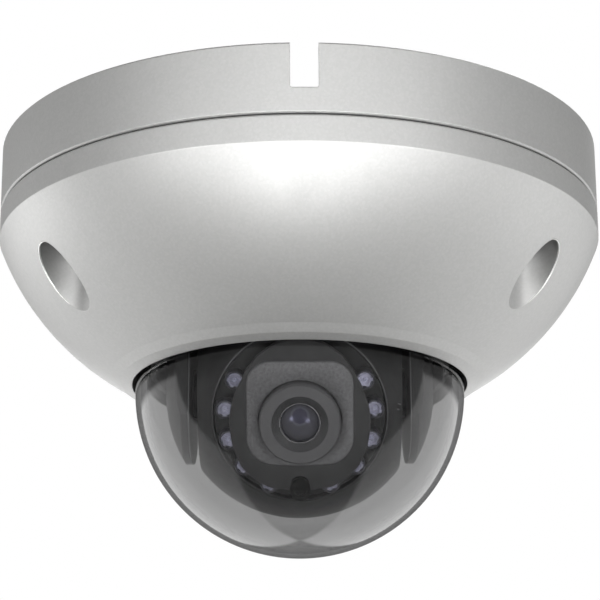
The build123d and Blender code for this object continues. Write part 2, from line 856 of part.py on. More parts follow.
def pivots():
    screws = []
    washers = []
    head_start = pivot_seat() + washer_gap
    head_end = head_start + pivot_head_height
    washer_end = arm_inside - washer_gap
    for side in (-1, 1):
        turn = ball_place * Rot(0, 0, 0 if side > 0 else 180)
        head = across(pivot_head, head_start, head_end)
        outer_edge = head.edges().filter_by(GeomType.CIRCLE).sort_by(Axis.X)[-1]
        head = chamfer(outer_edge, pivot_head_edge)
        head -= across(pivot_socket, head_end - pivot_socket_depth, head_end)
        shoulder = across(pivot_radius, ball_flat, head_start)
        thread = across(pivot_thread, ball_flat - pivot_thread_length, ball_flat)
        screws.append(turn * (head + shoulder + thread))
        washer = across(pivot_washer_radius, ball_flat, washer_end)
        washer -= across(pivot_radius + running_clearance, ball_flat, washer_end)
        washers.append(turn * washer)
    save("tilt_screws", *screws)
    save("tilt_washers", *washers)


def ball_shells():
    wide = 3 * ball_radius
    outer = Sphere(ball_radius) & block(2 * ball_flat, wide, -ball_radius, ball_radius)
    inner_flat = ball_flat - ball_wall
    inner = Sphere(ball_radius - ball_wall)
    inner &= block(2 * inner_flat, wide, -ball_radius, ball_radius)
    ledge_back = head_flange_back + head_flange_height + head_gap
    ring_front = head_flange_back - head_gap
    cavity = inner & block(wide, wide, -ball_radius, ring_front)
    cavity += cylinder(head_flange_radius + head_gap, ring_front, ledge_back)
    cavity += cylinder(head_bore, ledge_back, ball_radius)
    front = (outer - cavity) & block(wide, wide, ball_split, ball_rim)
    rear = (outer - cavity) & block(wide, wide, -ball_radius, ball_split)
    for side in (-1, 1):
        start = pivot_boss_inside if side > 0 else -inner_flat
        front += across(pivot_boss, start, start + inner_flat - pivot_boss_inside)
        hole = across(pivot_thread + running_clearance, pivot_boss_inside, ball_flat)
        front -= hole if side > 0 else Rot(0, 0, 180) * hole
    screws = []
    seat = ball_split - ball_boss_rear
    boss_front = ball_split + ball_boss_front
    tip = ball_split + ball_screw_grip
    shank = ball_screw_radius
    pilot = shank + running_clearance
    screw_circle = ball_radius - ball_screw_inset
    for angle in (ball_screw_angle, 180 - ball_screw_angle):
        for side in (-1, 1):
            place = around(screw_circle, side * angle)
            front += cylinder(ball_boss, ball_split, boss_front, place) & outer
            front -= cylinder(pilot, ball_split, tip + thread_end, place)
            rear += cylinder(ball_boss, seat, ball_split, place) & outer
            rear -= cylinder(shank + head_gap, seat, ball_split, place)
            rear -= cylinder(ball_boss_bore, -ball_radius, seat, place)
            one = screw(shank, ball_screw_head, seat, tip, ball_screw_head_height, place)
            screws.append(one)
    slot_top = ball_split - ball_screw_grip
    slot_depth = ball_radius * 1.2
    rear -= block(cable_slot_width, slot_depth, -ball_radius, slot_top, (0, slot_depth / 3))
    ring_tip = ring_front + head_ring_screw_grip
    ring_pilot = head_ring_screw + running_clearance
    for y in (-head_ear, head_ear):
        front -= cylinder(ring_pilot, ring_front, ring_tip + thread_end / 2, (0, y))
    save("ball_front_shell", aim * front)
    save("ball_rear_shell", aim * rear)
    save("ball_screws", *[aim * one for one in screws])
    ring_back = ring_front - head_ring_height
    ring = cylinder(head_flange_radius - head_gap, ring_back, ring_front)
    ring += block(head_ear_width, 2 * (head_ear + head_ear_end), ring_back, ring_front)
    ring -= cylinder(head_flange_radius - head_gap - head_ring_width, ring_back, ring_front)
    height = head_ring_screw_head_height
    ring_screws = []
    for y in (-head_ear, head_ear):
        ring -= cylinder(head_ring_screw + head_gap, ring_back, ring_front, (0, y))
        one = screw(head_ring_screw, head_ring_screw_head, ring_back, ring_tip, height, (0, y))
        ring_screws.append(one)
    save("head_retaining_ring", aim * ring)
    save("head_ring_screws", *[aim * one for one in ring_screws])


def holder_screw_places():
    return [around(holder_screw_circle, 90), around(holder_screw_circle, 270)]


def head():
    head_inner = head_radius - head_wall
    body = tube(head_radius, head_inner, head_flange_back, head_floor)
    flange_front = head_flange_back + head_flange_height
    body += tube(head_flange_radius, head_inner, head_flange_back, flange_front)
    body += tube(head_radius, holder_radius + holder_gap, head_floor_back, head_floor)
    for place in holder_screw_places():
        hole_top = head_floor - holder_screw_cover + running_clearance
        body -= cylinder(holder_screw_radius + running_clearance, head_floor_back, hole_top, place)
    save("head_body", aim * body)
    board_outer = head_radius - head_gap
    board_bore = holder_radius + 2 * holder_gap
    save("light_board", aim * tube(board_outer, board_bore, head_floor, light_board_front))
    straight = light_board_front + light_height - light_radius
    lights = []
    for step in (1, 2, 3, 4, 5):
        for side in (-1, 1):
            place = around(light_circle, side * step * light_spacing)
            light = cylinder(light_radius, light_board_front, straight, place)
            light += Pos(place[0], place[1], straight) * Sphere(light_radius)
            lights.append(aim * light)
    save("infrared_lights", *lights)
    cell_front = light_board_front + cell_height
    cell = Pos(0, 0, light_board_front) * extrude(cell_outline(), cell_height)
    window = cell_width / 2 - cell_wall
    cell -= cylinder(window, cell_front - cell_dish, cell_front, around(cell_circle, 0))
    save("light_sensor", aim * cell)


def cell_outline(grow=0.0):
    """The light sensor's oval sleeve at the bottom of the ring of lights."""
    oval = SlotOverall(cell_length + 2 * grow, cell_width + 2 * grow, rotation=90)
    return Pos(0, -cell_circle) * oval


def face_outline(grow=0.0):
    """The lens face: a rounded square, cut to fit inside the round collar."""
    square = Pos(0, face_offset) * RectangleRounded(
        face_side + 2 * grow, face_side + 2 * grow, face_corner + grow
    )
    return square & Circle(collar_brim - face_rim + grow)


def collar_and_face():
    brim_back = collar_front - collar_brim_height
    collar = cylinder(collar_radius, light_board_front, brim_back + collar_brim_height / 2)
    brim = cylinder(collar_brim, brim_back, collar_front)
    brim = fillet(brim.edges().sort_by(Axis.Z)[-1], collar_brim_round)
    collar += chamfer(brim.edges().sort_by(Axis.Z)[0], collar_brim_edge)
    face_back = face_front - face_height
    collar -= cylinder(holder_radius + holder_gap, light_board_front, face_back)
    collar -= Pos(0, 0, face_back) * extrude(face_outline(running_clearance), face_height)
    notch = extrude(cell_outline(head_gap), face_front - light_board_front)
    collar -= Pos(0, 0, light_board_front) * notch
    save("isolation_ring", aim * collar)
    face = Pos(0, 0, face_back) * extrude(face_outline(), face_height)
    face = fillet(face.faces().sort_by(Axis.Z)[-1].edges(), face_edge_round)
    face -= cylinder(barrel_radius + head_gap, face_back, face_front)
    save("lens_face", aim * face)


def lens():
    barrel_back = barrel_front - barrel_length
    barrel_bore = glass_radius + glass_gap
    lip_back = barrel_front - dish_depth - aperture_lip
    shoulder = barrel_front - barrel_step
    outline = Polyline(
        (barrel_bore, barrel_back),
        (barrel_thread, barrel_back),
        (barrel_thread, shoulder),
        (barrel_radius, shoulder),
        (barrel_radius, barrel_front - barrel_edge),
        (barrel_radius - barrel_edge, barrel_front),
        (dish_radius, barrel_front),
        (aperture_radius, barrel_front - dish_depth),
        (aperture_radius, lip_back),
        (barrel_bore, lip_back),
        close=True,
    )
    save("lens_barrel", aim * spun(make_face(outline)))
    rim = lip_back - glass_seat_gap
    front_back = rim - front_glass_height
    bulge = Pos(0, 0, rim + front_glass_rise - glass_curve) * Sphere(glass_curve)
    glass = cylinder(glass_radius, front_back, rim)
    glass += bulge & cylinder(aperture_radius - glass_gap, rim, barrel_front)
    glass -= Pos(0, 0, front_back + hollow_depth - hollow_curve) * Sphere(hollow_curve)
    spacer_back = front_back - spacer_length
    spacer = tube(glass_radius, glass_radius - spacer_wall, spacer_back, front_back)
    save("lens_spacer", aim * spacer)
    rear_back = spacer_back - rear_glass_height
    rear = cylinder(glass_radius, rear_back, spacer_back)
    rear_bulge = Pos(0, 0, spacer_back + rear_glass_rise - glass_curve) * Sphere(glass_curve)
    rear += rear_bulge & cylinder(rear_glass_reach, spacer_back, barrel_front)
    save("lens_elements", aim * glass, aim * rear)
    ring_back = rear_back - lens_ring_height
    save("lens_retaining_ring", aim * tube(glass_radius, lens_ring_bore, ring_back, rear_back))


def lens_holder():
    flange_back = head_floor_back - holder_flange_height
    holder = block(holder_width, holder_depth, foot_back, foot_front)
    holder += cylinder(holder_radius, foot_front, holder_front)
    holder += cylinder(holder_flange, flange_back, head_floor_back)
    lug = 2 * holder_screw_circle
    holder += block(lug, holder_lug_width, flange_back, head_floor_back)
    holder -= cylinder(barrel_thread + running_clearance, foot_front, holder_front)
    holder -= cylinder(holder_bore, foot_back, foot_front)
    step = foot_back - tray_step
    tray = block(holder_width, holder_depth, step, foot_back)
    tray += block(tray_waist, holder_depth, sensor_front, step)
    places = [tray_screw_place, (-tray_screw_place[0], -tray_screw_place[1])]
    for place in places:
        tray += cylinder(tray_post, sensor_front, step, place)
    travel_floor = foot_back - tray_travel_height
    tray -= block(tray_travel_width, tray_travel_depth, travel_floor, foot_back)
    tray -= block(tray_window, tray_window_depth, sensor_front, travel_floor)
    board = cylinder(sensor_board_radius, sensor_board_back, sensor_front)
    board &= block(sensor_board_width, sensor_board_depth, sensor_board_back, sensor_front)
    tip = foot_back + tray_screw_grip
    shank = tray_screw_radius
    height = tray_screw_head_height
    screws = []
    for place in places:
        hole = cylinder(shank + tray_screw_gap, sensor_board_back, tip + tray_screw_gap, place)
        board -= hole
        tray -= hole
        holder -= hole
        screws.append(screw(shank, tray_screw_head, sensor_board_back, tip, height, place))
    holder_tip = head_floor - holder_screw_cover
    holder_screws = []
    for place in holder_screw_places():
        hole = cylinder(holder_screw_radius + head_gap, flange_back, head_floor_back, place)
        holder -= hole
        head_height = holder_screw_head_height
        shank = holder_screw_radius
        one = screw(shank, holder_screw_head, flange_back, holder_tip, head_height, place)
        holder_screws.append(one)
    save("lens_holder", aim * holder)
    save("holder_screws", *[aim * one for one in holder_screws])
    save("filter_tray", aim * tray)
    save("sensor_board", aim * board)
    save("tray_screws", *[aim * one for one in screws])
    width, depth, rise = image_sensor_size
    save("image_sensor", aim * block(width, depth, sensor_front, sensor_front + rise))
    width, depth, drop = sensor_socket_size
    save("sensor_socket", aim * block(width, depth, sensor_board_back - drop, sensor_board_back))
    coil_place = (0, (holder_depth + coil_size[1]) / 2)
    save("filter_coil", aim * block(coil_size[0], coil_size[1], step, foot_back, coil_place))


def infrared_filter():
    back = foot_back - tray_travel_height + filter_frame_gap
    front = back + filter_frame_height
    ledge_front = back + filter_ledge
    length = filter_side + filter_travel + 2 * filter_frame_end
    frame = block(length, filter_frame_depth, back, front, (filter_travel / 2, 0))
    opening = filter_side - 2 * filter_ledge_width
    seat = filter_side + 2 * filter_frame_gap
    panes = []
    for place in ((0, 0), (filter_travel, 0)):
        frame -= block(opening, opening, back, front, place)
        frame -= block(seat, seat, ledge_front, front, place)
        pane = block(filter_side, filter_side, ledge_front, ledge_front + filter_height, place)
        panes.append(aim * pane)
    save("filter_carriage", aim * frame)
    save("filter_panes", *panes)


def sensor_cable():
    """The flat cable from the main board down through the hub into the ball."""
    socket_low = board_under - flat_socket_size[2]
    back = sensor_board_back - sensor_socket_size[2]
    tilt = radians(aim_below_level)
    end = (-back * cos(tilt), ball_centre - back * sin(tilt))
    bend = (end[0] + ribbon_reach * cos(tilt), end[1] + ribbon_reach * sin(tilt))
    start = (flat_socket_back, socket_low)
    knee = (flat_socket_back, bend[1] + ribbon_drop)
    path = FilletPolyline(start, knee, bend, end, radius=ribbon_bend)
    ribbon = trace(path, ribbon_height)
    cable = extrude(Plane.YZ * ribbon, ribbon_width / 2, both=True)
    wide = 3 * ball_radius
    below_socket = block(wide, wide, ball_centre - ball_radius, socket_low)
    behind_board = aim * block(wide, wide, -wide, back)
    save("sensor_cable", cable & below_socket & behind_board)


mounting_base()
front_cover()
cover_screws()
bubble()
bubble_clamp()
cable_gland()
main_board()
card_and_button()
pan_bracket()
yoke()
pivots()
ball_shells()
head()
collar_and_face()
lens()
lens_holder()
infrared_filter()
sensor_cable()
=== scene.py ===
import json
from math import cos, degrees, hypot, pi, radians, sin, sqrt, tan

import bmesh
import bpy
from mathutils import Matrix, Vector


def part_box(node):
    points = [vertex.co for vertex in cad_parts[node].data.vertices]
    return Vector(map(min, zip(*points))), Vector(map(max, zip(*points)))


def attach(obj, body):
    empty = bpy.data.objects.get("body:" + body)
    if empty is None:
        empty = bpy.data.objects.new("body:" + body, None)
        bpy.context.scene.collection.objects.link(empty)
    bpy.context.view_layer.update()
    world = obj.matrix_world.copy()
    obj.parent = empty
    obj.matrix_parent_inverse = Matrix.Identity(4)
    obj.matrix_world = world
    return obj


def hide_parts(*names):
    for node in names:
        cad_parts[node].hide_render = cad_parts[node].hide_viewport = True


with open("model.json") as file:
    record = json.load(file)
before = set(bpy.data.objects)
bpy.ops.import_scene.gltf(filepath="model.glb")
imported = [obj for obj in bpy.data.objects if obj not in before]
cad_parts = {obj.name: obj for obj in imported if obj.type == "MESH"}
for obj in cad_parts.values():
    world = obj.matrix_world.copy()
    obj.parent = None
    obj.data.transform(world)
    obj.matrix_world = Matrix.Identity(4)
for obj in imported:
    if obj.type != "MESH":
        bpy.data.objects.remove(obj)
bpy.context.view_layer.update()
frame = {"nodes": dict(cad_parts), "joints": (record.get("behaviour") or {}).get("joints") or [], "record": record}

# Small dome camera for a ceiling. Metres, the ceiling is z = 0, the lens looks towards -Y and down.

nodes = frame["nodes"]
slotOf = {row["node"]: row["material_slot"] for row in frame["record"]["subparts"] if "node" in row}
tiltJoint = next(j for j in frame["joints"] if j["name"] == "tilt")
ballCentre = Vector(tiltJoint["pos_m"])
aimDown = radians(28)  # the lens points this far below level
# the lens frame: +Z runs out of the lens
aim = Matrix.Translation(ballCentre) @ Matrix.Rotation(radians(90) + aimDown, 4, "X")
screwCircle = 0.047  # the cover screws stand on this radius
# below its crease the cover is one arc in section
coverSide = {"arc": 0.0495, "across": 0.0091, "high": 0.00111}
print("frame loaded:", len(nodes), "nodes")


def sideHeight(reach):  # height of the cover's side at this distance from the axis
    return coverSide["high"] - sqrt(coverSide["arc"] ** 2 - (reach - coverSide["across"]) ** 2)


def hexColour(text):  # sRGB hex to linear
    out = []
    for i in (0, 2, 4):
        c = int(text[i:i + 2], 16) / 255
        out.append(c / 12.92 if c <= 0.04045 else ((c + 0.055) / 1.055) ** 2.4)
    return (*out, 1.0)


def addNode(tree, kind, values=None, links=None):
    # lower-case keys are settings, the others are sockets, and a linked node stands for its first output
    node = tree.nodes.new(kind)
    for key, value in (values or {}).items():
        if isinstance(key, str) and key[0].islower():
            setattr(node, key, value)
        else:
            node.inputs[key].default_value = value
    for key, source in (links or {}).items():
        tree.links.new(getattr(source, "outputs", (source,))[0], node.inputs[key])
    return node


def startMaterial(name, surface):
    material = bpy.data.materials.new(name)
    material.use_nodes = True
    tree = material.node_tree
    tree.nodes.clear()
    out = addNode(tree, "ShaderNodeOutputMaterial")
    shader = addNode(tree, "ShaderNodeBsdfPrincipled", surface)
    tree.links.new(shader.outputs[0], out.inputs["Surface"])
    coords = addNode(tree, "ShaderNodeTexCoord").outputs["Object"]
    return material, tree, shader, coords


def toneSteps(tree, shader, factor, steps):  # base colour runs through (place, hex) steps
    ramp = addNode(tree, "ShaderNodeValToRGB", {}, {"Fac": factor})
    elements = ramp.color_ramp.elements
    for k, (place, tone) in enumerate(steps):
        element = elements[k] if k < 2 else elements.new(place)
        element.position = place
        element.color = hexColour(tone)
    tree.links.new(ramp.outputs["Color"], shader.inputs["Base Color"])


def colourDrift(tree, shader, coords, dark, light, size):  # slow change of tone over size metres
    noise = addNode(tree, "ShaderNodeTexNoise", {"Scale": 1 / size, "Detail": 3.0}, {"Vector": coords})
    toneSteps(tree, shader, noise, [(0.3, dark), (0.7, light)])
    return noise


def grainBump(tree, shader, height, deep, strength=1.0, edge=0.0, samples=4):  # deep is the relief in metres
    bump = addNode(tree, "ShaderNodeBump", {"Strength": strength, "Distance": deep}, {"Height": height})
    tree.links.new(bump.outputs["Normal"], shader.inputs["Normal"])
    if edge:  # corners look rounded by this radius and catch the light
        soft = addNode(tree, "ShaderNodeBevel", {"samples": samples, "Radius": edge})
        tree.links.new(soft.outputs[0], bump.inputs["Normal"])


def roughRange(tree, shader, value, low, high):
    spread = addNode(tree, "ShaderNodeMapRange", {"To Min": low, "To Max": high}, {"Value": value})
    tree.links.new(spread.outputs["Result"], shader.inputs["Roughness"])


def clearForRay(tree, shader, ray, tint):  # one kind of ray passes through, the others meet the surface
    out = next(n for n in tree.nodes if n.type == "OUTPUT_MATERIAL")
    clear = addNode(tree, "ShaderNodeBsdfTransparent", {"Color": tint})
    path = addNode(tree, "ShaderNodeLightPath")
    mix = addNode(tree, "ShaderNodeMixShader", {}, {0: path.outputs[ray], 1: shader, 2: clear})
    tree.links.new(mix.outputs[0], out.inputs["Surface"])
    return out


def lensAxis(tree, coords):  # distance from the lens axis, so that turning marks run round it
    along = {"vector_type": "TEXTURE", "Location": ballCentre, "Rotation": aim.to_euler()}
    local = addNode(tree, "ShaderNodeMapping", along, {"Vector": coords})
    split = addNode(tree, "ShaderNodeSeparateXYZ", {}, {"Vector": local})
    flat = addNode(tree, "ShaderNodeCombineXYZ", {}, {"X": split.outputs["X"], "Y": split.outputs["Y"]})
    reach = addNode(tree, "ShaderNodeVectorMath", {"operation": "LENGTH"}, {0: flat})
    return reach.outputs["Value"]


def satinSilverPaint():
    # sprayed satin silver paint on a die casting: a soft wide sheen with fine orange peel and aluminium flake
    peel = {
        "size": 0.0009, "deep": 0.000004, "flake": 0.0004, "edge": 0.00025,
        "dark": "B0B0AF", "light": "B5B5B4",
    }
    surface = {"Metallic": 0.74, "Roughness": 0.45, "Coat Weight": 0.1, "Coat Roughness": 0.35}
    material, tree, shader, coords = startMaterial("satinSilverPaint", surface)
    flake = addNode(tree, "ShaderNodeTexVoronoi", {"Scale": 1 / peel["flake"]}, {"Vector": coords})
    # one tone for each flake, drawn coarser than the real 0.05 mm
    speck = addNode(tree, "ShaderNodeTexWhiteNoise", {}, {"Vector": flake.outputs["Position"]})
    toneSteps(tree, shader, speck.outputs["Value"], [(0.0, peel["dark"]), (1.0, peel["light"])])
    roughRange(tree, shader, flake.outputs["Distance"], 0.5, 0.58)
    waves = {"Scale": 1 / peel["size"], "Detail": 2.0}
    ripple = addNode(tree, "ShaderNodeTexNoise", waves, {"Vector": coords})
    grainBump(tree, shader, ripple, peel["deep"], 0.5, peel["edge"], 6)
    return material


def smokedPolycarbonate():
    # injection moulded smoked polycarbonate, polished: clear gloss, and darker where its wall is seen edge on
    wall = {
        "absorb": 288.0, "tone": (0.02, 0.02, 0.02, 1), "shadow": (0.92, 0.92, 0.92, 1),
        "flow": 90.0, "deep": 0.000002,
    }
    surface = {"Base Color": (1, 1, 1, 1), "Roughness": 0.0, "IOR": 1.585, "Transmission Weight": 1.0}
    material, tree, shader, coords = startMaterial("smokedPolycarbonate", surface)
    out = clearForRay(tree, shader, "Is Shadow Ray", wall["shadow"])
    smoke = addNode(tree, "ShaderNodeVolumeAbsorption", {"Color": wall["tone"], "Density": wall["absorb"]})
    tree.links.new(smoke.outputs[0], out.inputs["Volume"])
    # flow lines too faint to see but in a highlight
    swirl = addNode(tree, "ShaderNodeTexNoise", {"Scale": wall["flow"], "Detail": 1.0}, {"Vector": coords})
    grainBump(tree, shader, swirl, wall["deep"], 0.2)
    return material


def mouldedPlastic(name, dark, light, rough, grain, deep, ior=1.53, edge=0.0):
    # spark-eroded mould texture: fine pits that break the gloss up
    material, tree, shader, coords = startMaterial(name, {"Roughness": rough, "IOR": ior})
    tone = colourDrift(tree, shader, coords, dark, light, 0.004)
    roughRange(tree, shader, tone, rough - 0.06, rough + 0.06)
    pits = addNode(tree, "ShaderNodeTexNoise", {"Scale": 1 / grain, "Detail": 2.0}, {"Vector": coords})
    grainBump(tree, shader, pits, deep, 1.0, edge)
    return material


def sparkTexturedFace():
    # ABS with a coarse spark texture, 0.5 mm grain: small flat flecks that each catch the light a little
    face = {"grain": 0.0005, "deep": 0.00006, "flecks": 0.6, "dark": "565658", "light": "8A8A8C"}
    material, tree, shader, coords = startMaterial("sparkTexturedAbs", {"Roughness": 0.5, "IOR": 1.54})
    cells = addNode(tree, "ShaderNodeTexVoronoi", {"Scale": 1 / face["grain"]}, {"Vector": coords})
    half = {"Scale": 2 / face["grain"], "Detail": 3.0}  # grain half the size of the flecks
    fine = addNode(tree, "ShaderNodeTexNoise", half, {"Vector": coords})
    sources = {0: cells.outputs["Distance"], 2: fine}
    both = addNode(tree, "ShaderNodeMath", {"operation": "MULTIPLY_ADD", 1: face["flecks"]}, sources)
    toneSteps(tree, shader, both, [(0.0, face["dark"]), (1.0, face["light"])])
    grainBump(tree, shader, both, face["deep"])
    return material


def rubber(name, dark, light, rough, size=0.0006):
    # moulded elastomer: matt, faintly mottled, with a dusty bloom
    surface = {"Roughness": rough, "IOR": 1.42, "Sheen Weight": 0.15, "Sheen Roughness": 0.5}
    material, tree, shader, coords = startMaterial(name, surface)
    colourDrift(tree, shader, coords, dark, light, size * 4)
    skin = addNode(tree, "ShaderNodeTexNoise", {"Scale": 1 / size, "Detail": 4.0}, {"Vector": coords})
    grainBump(tree, shader, skin, 0.00002)
    return material


def platedMetal(name, dark, light, rough, streak=0.0004):
    # electroplated or passivated metal: bright, slightly cloudy, with fine drawing lines under the plating
    material, tree, shader, coords = startMaterial(name, {"Metallic": 1.0, "Roughness": rough})
    cloud = colourDrift(tree, shader, coords, dark, light, 0.003)
    roughRange(tree, shader, cloud, rough - 0.08, rough + 0.1)
    drawn = addNode(tree, "ShaderNodeMapping", {"Scale": (1.0, 1.0, 0.12)}, {"Vector": coords})
    lines = addNode(tree, "ShaderNodeTexNoise", {"Scale": 1 / streak, "Detail": 2.0}, {"Vector": drawn})
    grainBump(tree, shader, lines, 0.000008, 0.6)
    return material


def spangledZinc():
    # galvanised sheet: crystals of the zinc, about 2 mm across, each at its own tilt and tone
    zinc = {"crystal": 0.002, "dark": "9A9C9E", "light": "C4C6C8"}
    material, tree, shader, coords = startMaterial("zincCoatedSheet", {"Metallic": 1.0, "Roughness": 0.35})
    crystals = addNode(tree, "ShaderNodeTexVoronoi", {"Scale": 1 / zinc["crystal"]}, {"Vector": coords})
    toneSteps(tree, shader, crystals.outputs["Color"], [(0.0, zinc["dark"]), (1.0, zinc["light"])])
    roughRange(tree, shader, crystals.outputs["Distance"], 0.28, 0.45)
    return material


def anodisedBlack():
    # turned aluminium, bead blasted and anodised black: faint rings, drawn 0.25 mm apart to show, not 0.1 mm
    turned = {
        "pitch": 0.00025, "deep": 0.000012, "blast": 6000.0, "rampFull": 0.01,
        "tones": ((0.0047, "525254"), (0.00485, "767678")),  # the dish is painted darker than the rim: painted shade in the recess
    }
    surface = {"Metallic": 0.35, "Roughness": 0.45}
    material, tree, shader, coords = startMaterial("blackAnodisedAluminium", surface)
    reach = lensAxis(tree, coords)
    share = addNode(tree, "ShaderNodeMath", {"operation": "MULTIPLY", 1: 1 / turned["rampFull"]}, {0: reach})
    steps = [(place / turned["rampFull"], tone) for place, tone in turned["tones"]]
    toneSteps(tree, shader, share, steps)
    waves = {"operation": "MULTIPLY", 1: 2 * pi / turned["pitch"]}
    turns = addNode(tree, "ShaderNodeMath", waves, {0: reach})
    groove = addNode(tree, "ShaderNodeMath", {"operation": "SINE"}, {0: turns})
    blast = addNode(tree, "ShaderNodeTexNoise", {"Scale": turned["blast"], "Detail": 2.0}, {"Vector": coords})
    both = addNode(tree, "ShaderNodeMath", {"operation": "ADD"}, {0: groove, 1: blast})
    grainBump(tree, shader, both, turned["deep"], 0.7)
    roughRange(tree, shader, blast, 0.4, 0.5)
    return material


def coatedGlass(name, tint, coatAndRimReflectionTint, ior):
    # ground and polished glass with an anti-reflection coating: dark, with a painted violet-blue reflection at the
    # rim over the coating's own tinted reflection
    surface = {
        "Base Color": hexColour(tint), "Roughness": 0.02, "IOR": ior,
        "Transmission Weight": 0.75, "Specular Tint": hexColour(coatAndRimReflectionTint),
    }
    material, tree, shader, coords = startMaterial(name, surface)
    # base colour turns to the coat's tint towards the rim: painted reflection
    edge = addNode(tree, "ShaderNodeLayerWeight", {"Blend": 0.3})
    toneSteps(tree, shader, edge.outputs["Facing"], [(0.0, tint), (1.0, coatAndRimReflectionTint)])
    smear = addNode(tree, "ShaderNodeTexNoise", {"Scale": 400.0, "Detail": 2.0}, {"Vector": coords})
    roughRange(tree, shader, smear, 0.01, 0.05)
    return material


def lensGlass():
    # ground and coated glass: grey-violet haze of the elements behind, a darker pupil of painted shade and a
    # painted highlight ring round it
    glass = {
        "coat": "D8D8FF", "lift": (0, -0.00056, 0.00106), "smear": 400.0, "rampFull": 0.005,
        "tones": ((0.0011, "7A7890"), (0.0014, "A8A8B6"), (0.0018, "8E8E96")),  # pupil of painted shade, its painted highlight ring, haze
    }
    surface = {"Roughness": 0.03, "IOR": 1.62, "Transmission Weight": 0.25}
    surface["Specular Tint"] = hexColour(glass["coat"])
    material, tree, shader, coords = startMaterial("coatedLensGlass", surface)
    # the painted pupil and highlight ring are drawn off centre, as if they sat deeper
    seen = addNode(tree, "ShaderNodeVectorMath", {"operation": "SUBTRACT", 1: glass["lift"]}, {0: coords})
    reach = lensAxis(tree, seen)
    share = addNode(tree, "ShaderNodeMath", {"operation": "MULTIPLY", 1: 1 / glass["rampFull"]}, {0: reach})
    steps = [(place / glass["rampFull"], tone) for place, tone in glass["tones"]]
    toneSteps(tree, shader, share, steps)
    smear = addNode(tree, "ShaderNodeTexNoise", {"Scale": glass["smear"], "Detail": 2.0}, {"Vector": coords})
    roughRange(tree, shader, smear, 0.2, 0.24)  # handled glass, its glints are soft
    return material


def clearEpoxy():
    # cast clear epoxy: water clear with a faint blue, soft mould skin on the side
    surface = {"Base Color": hexColour("F4F4FB"), "Roughness": 0.04, "IOR": 1.5, "Transmission Weight": 1.0}
    material, tree, shader, coords = startMaterial("clearCastEpoxy", surface)
    skin = addNode(tree, "ShaderNodeTexNoise", {"Scale": 900.0, "Detail": 1.0}, {"Vector": coords})
    roughRange(tree, shader, skin, 0.02, 0.09)
    clearForRay(tree, shader, "Is Shadow Ray", (0.9, 0.9, 0.95, 1))
    return material


def solderMask(name, mask, copper, pitch):
    # glass laminate under solder mask: copper tracks stand out as lighter lines about 1 mm apart
    surface = {"Roughness": 0.3, "IOR": 1.5, "Coat Weight": 0.3, "Coat Roughness": 0.2}
    material, tree, shader, coords = startMaterial(name, surface)
    pattern = {"Scale": 1 / pitch, "Mortar Size": 0.12, "Mortar Smooth": 0.1, "Mortar": hexColour(copper)}
    pattern |= {"Color1": hexColour(mask), "Color2": hexColour(mask)}
    tracks = addNode(tree, "ShaderNodeTexBrick", pattern, {"Vector": coords})
    tree.links.new(tracks.outputs["Color"], shader.inputs["Base Color"])
    grainBump(tree, shader, tracks.outputs["Fac"], 0.00003)
    cloth = addNode(tree, "ShaderNodeTexNoise", {"Scale": 3000.0}, {"Vector": coords})
    roughRange(tree, shader, cloth, 0.25, 0.38)
    return material


def flatCable():
    # flat flexible cable: white polyester over tinned copper strips at 1 mm pitch
    cable = {"pitch": 0.001, "deep": 0.00003, "skin": "DAD7CC", "copper": "B8A890"}
    material, tree, shader, coords = startMaterial("polyesterFlatCable", {"Roughness": 0.35, "IOR": 1.6})
    split = addNode(tree, "ShaderNodeSeparateXYZ", {}, {"Vector": coords})
    waves = {"operation": "MULTIPLY", 1: 2 * pi / cable["pitch"]}
    strips = addNode(tree, "ShaderNodeMath", waves, {0: split.outputs["X"]})
    wave = addNode(tree, "ShaderNodeMath", {"operation": "SINE"}, {0: strips})
    toneSteps(tree, shader, wave, [(0.2, cable["skin"]), (1.0, cable["copper"])])
    grainBump(tree, shader, wave, cable["deep"])
    return material


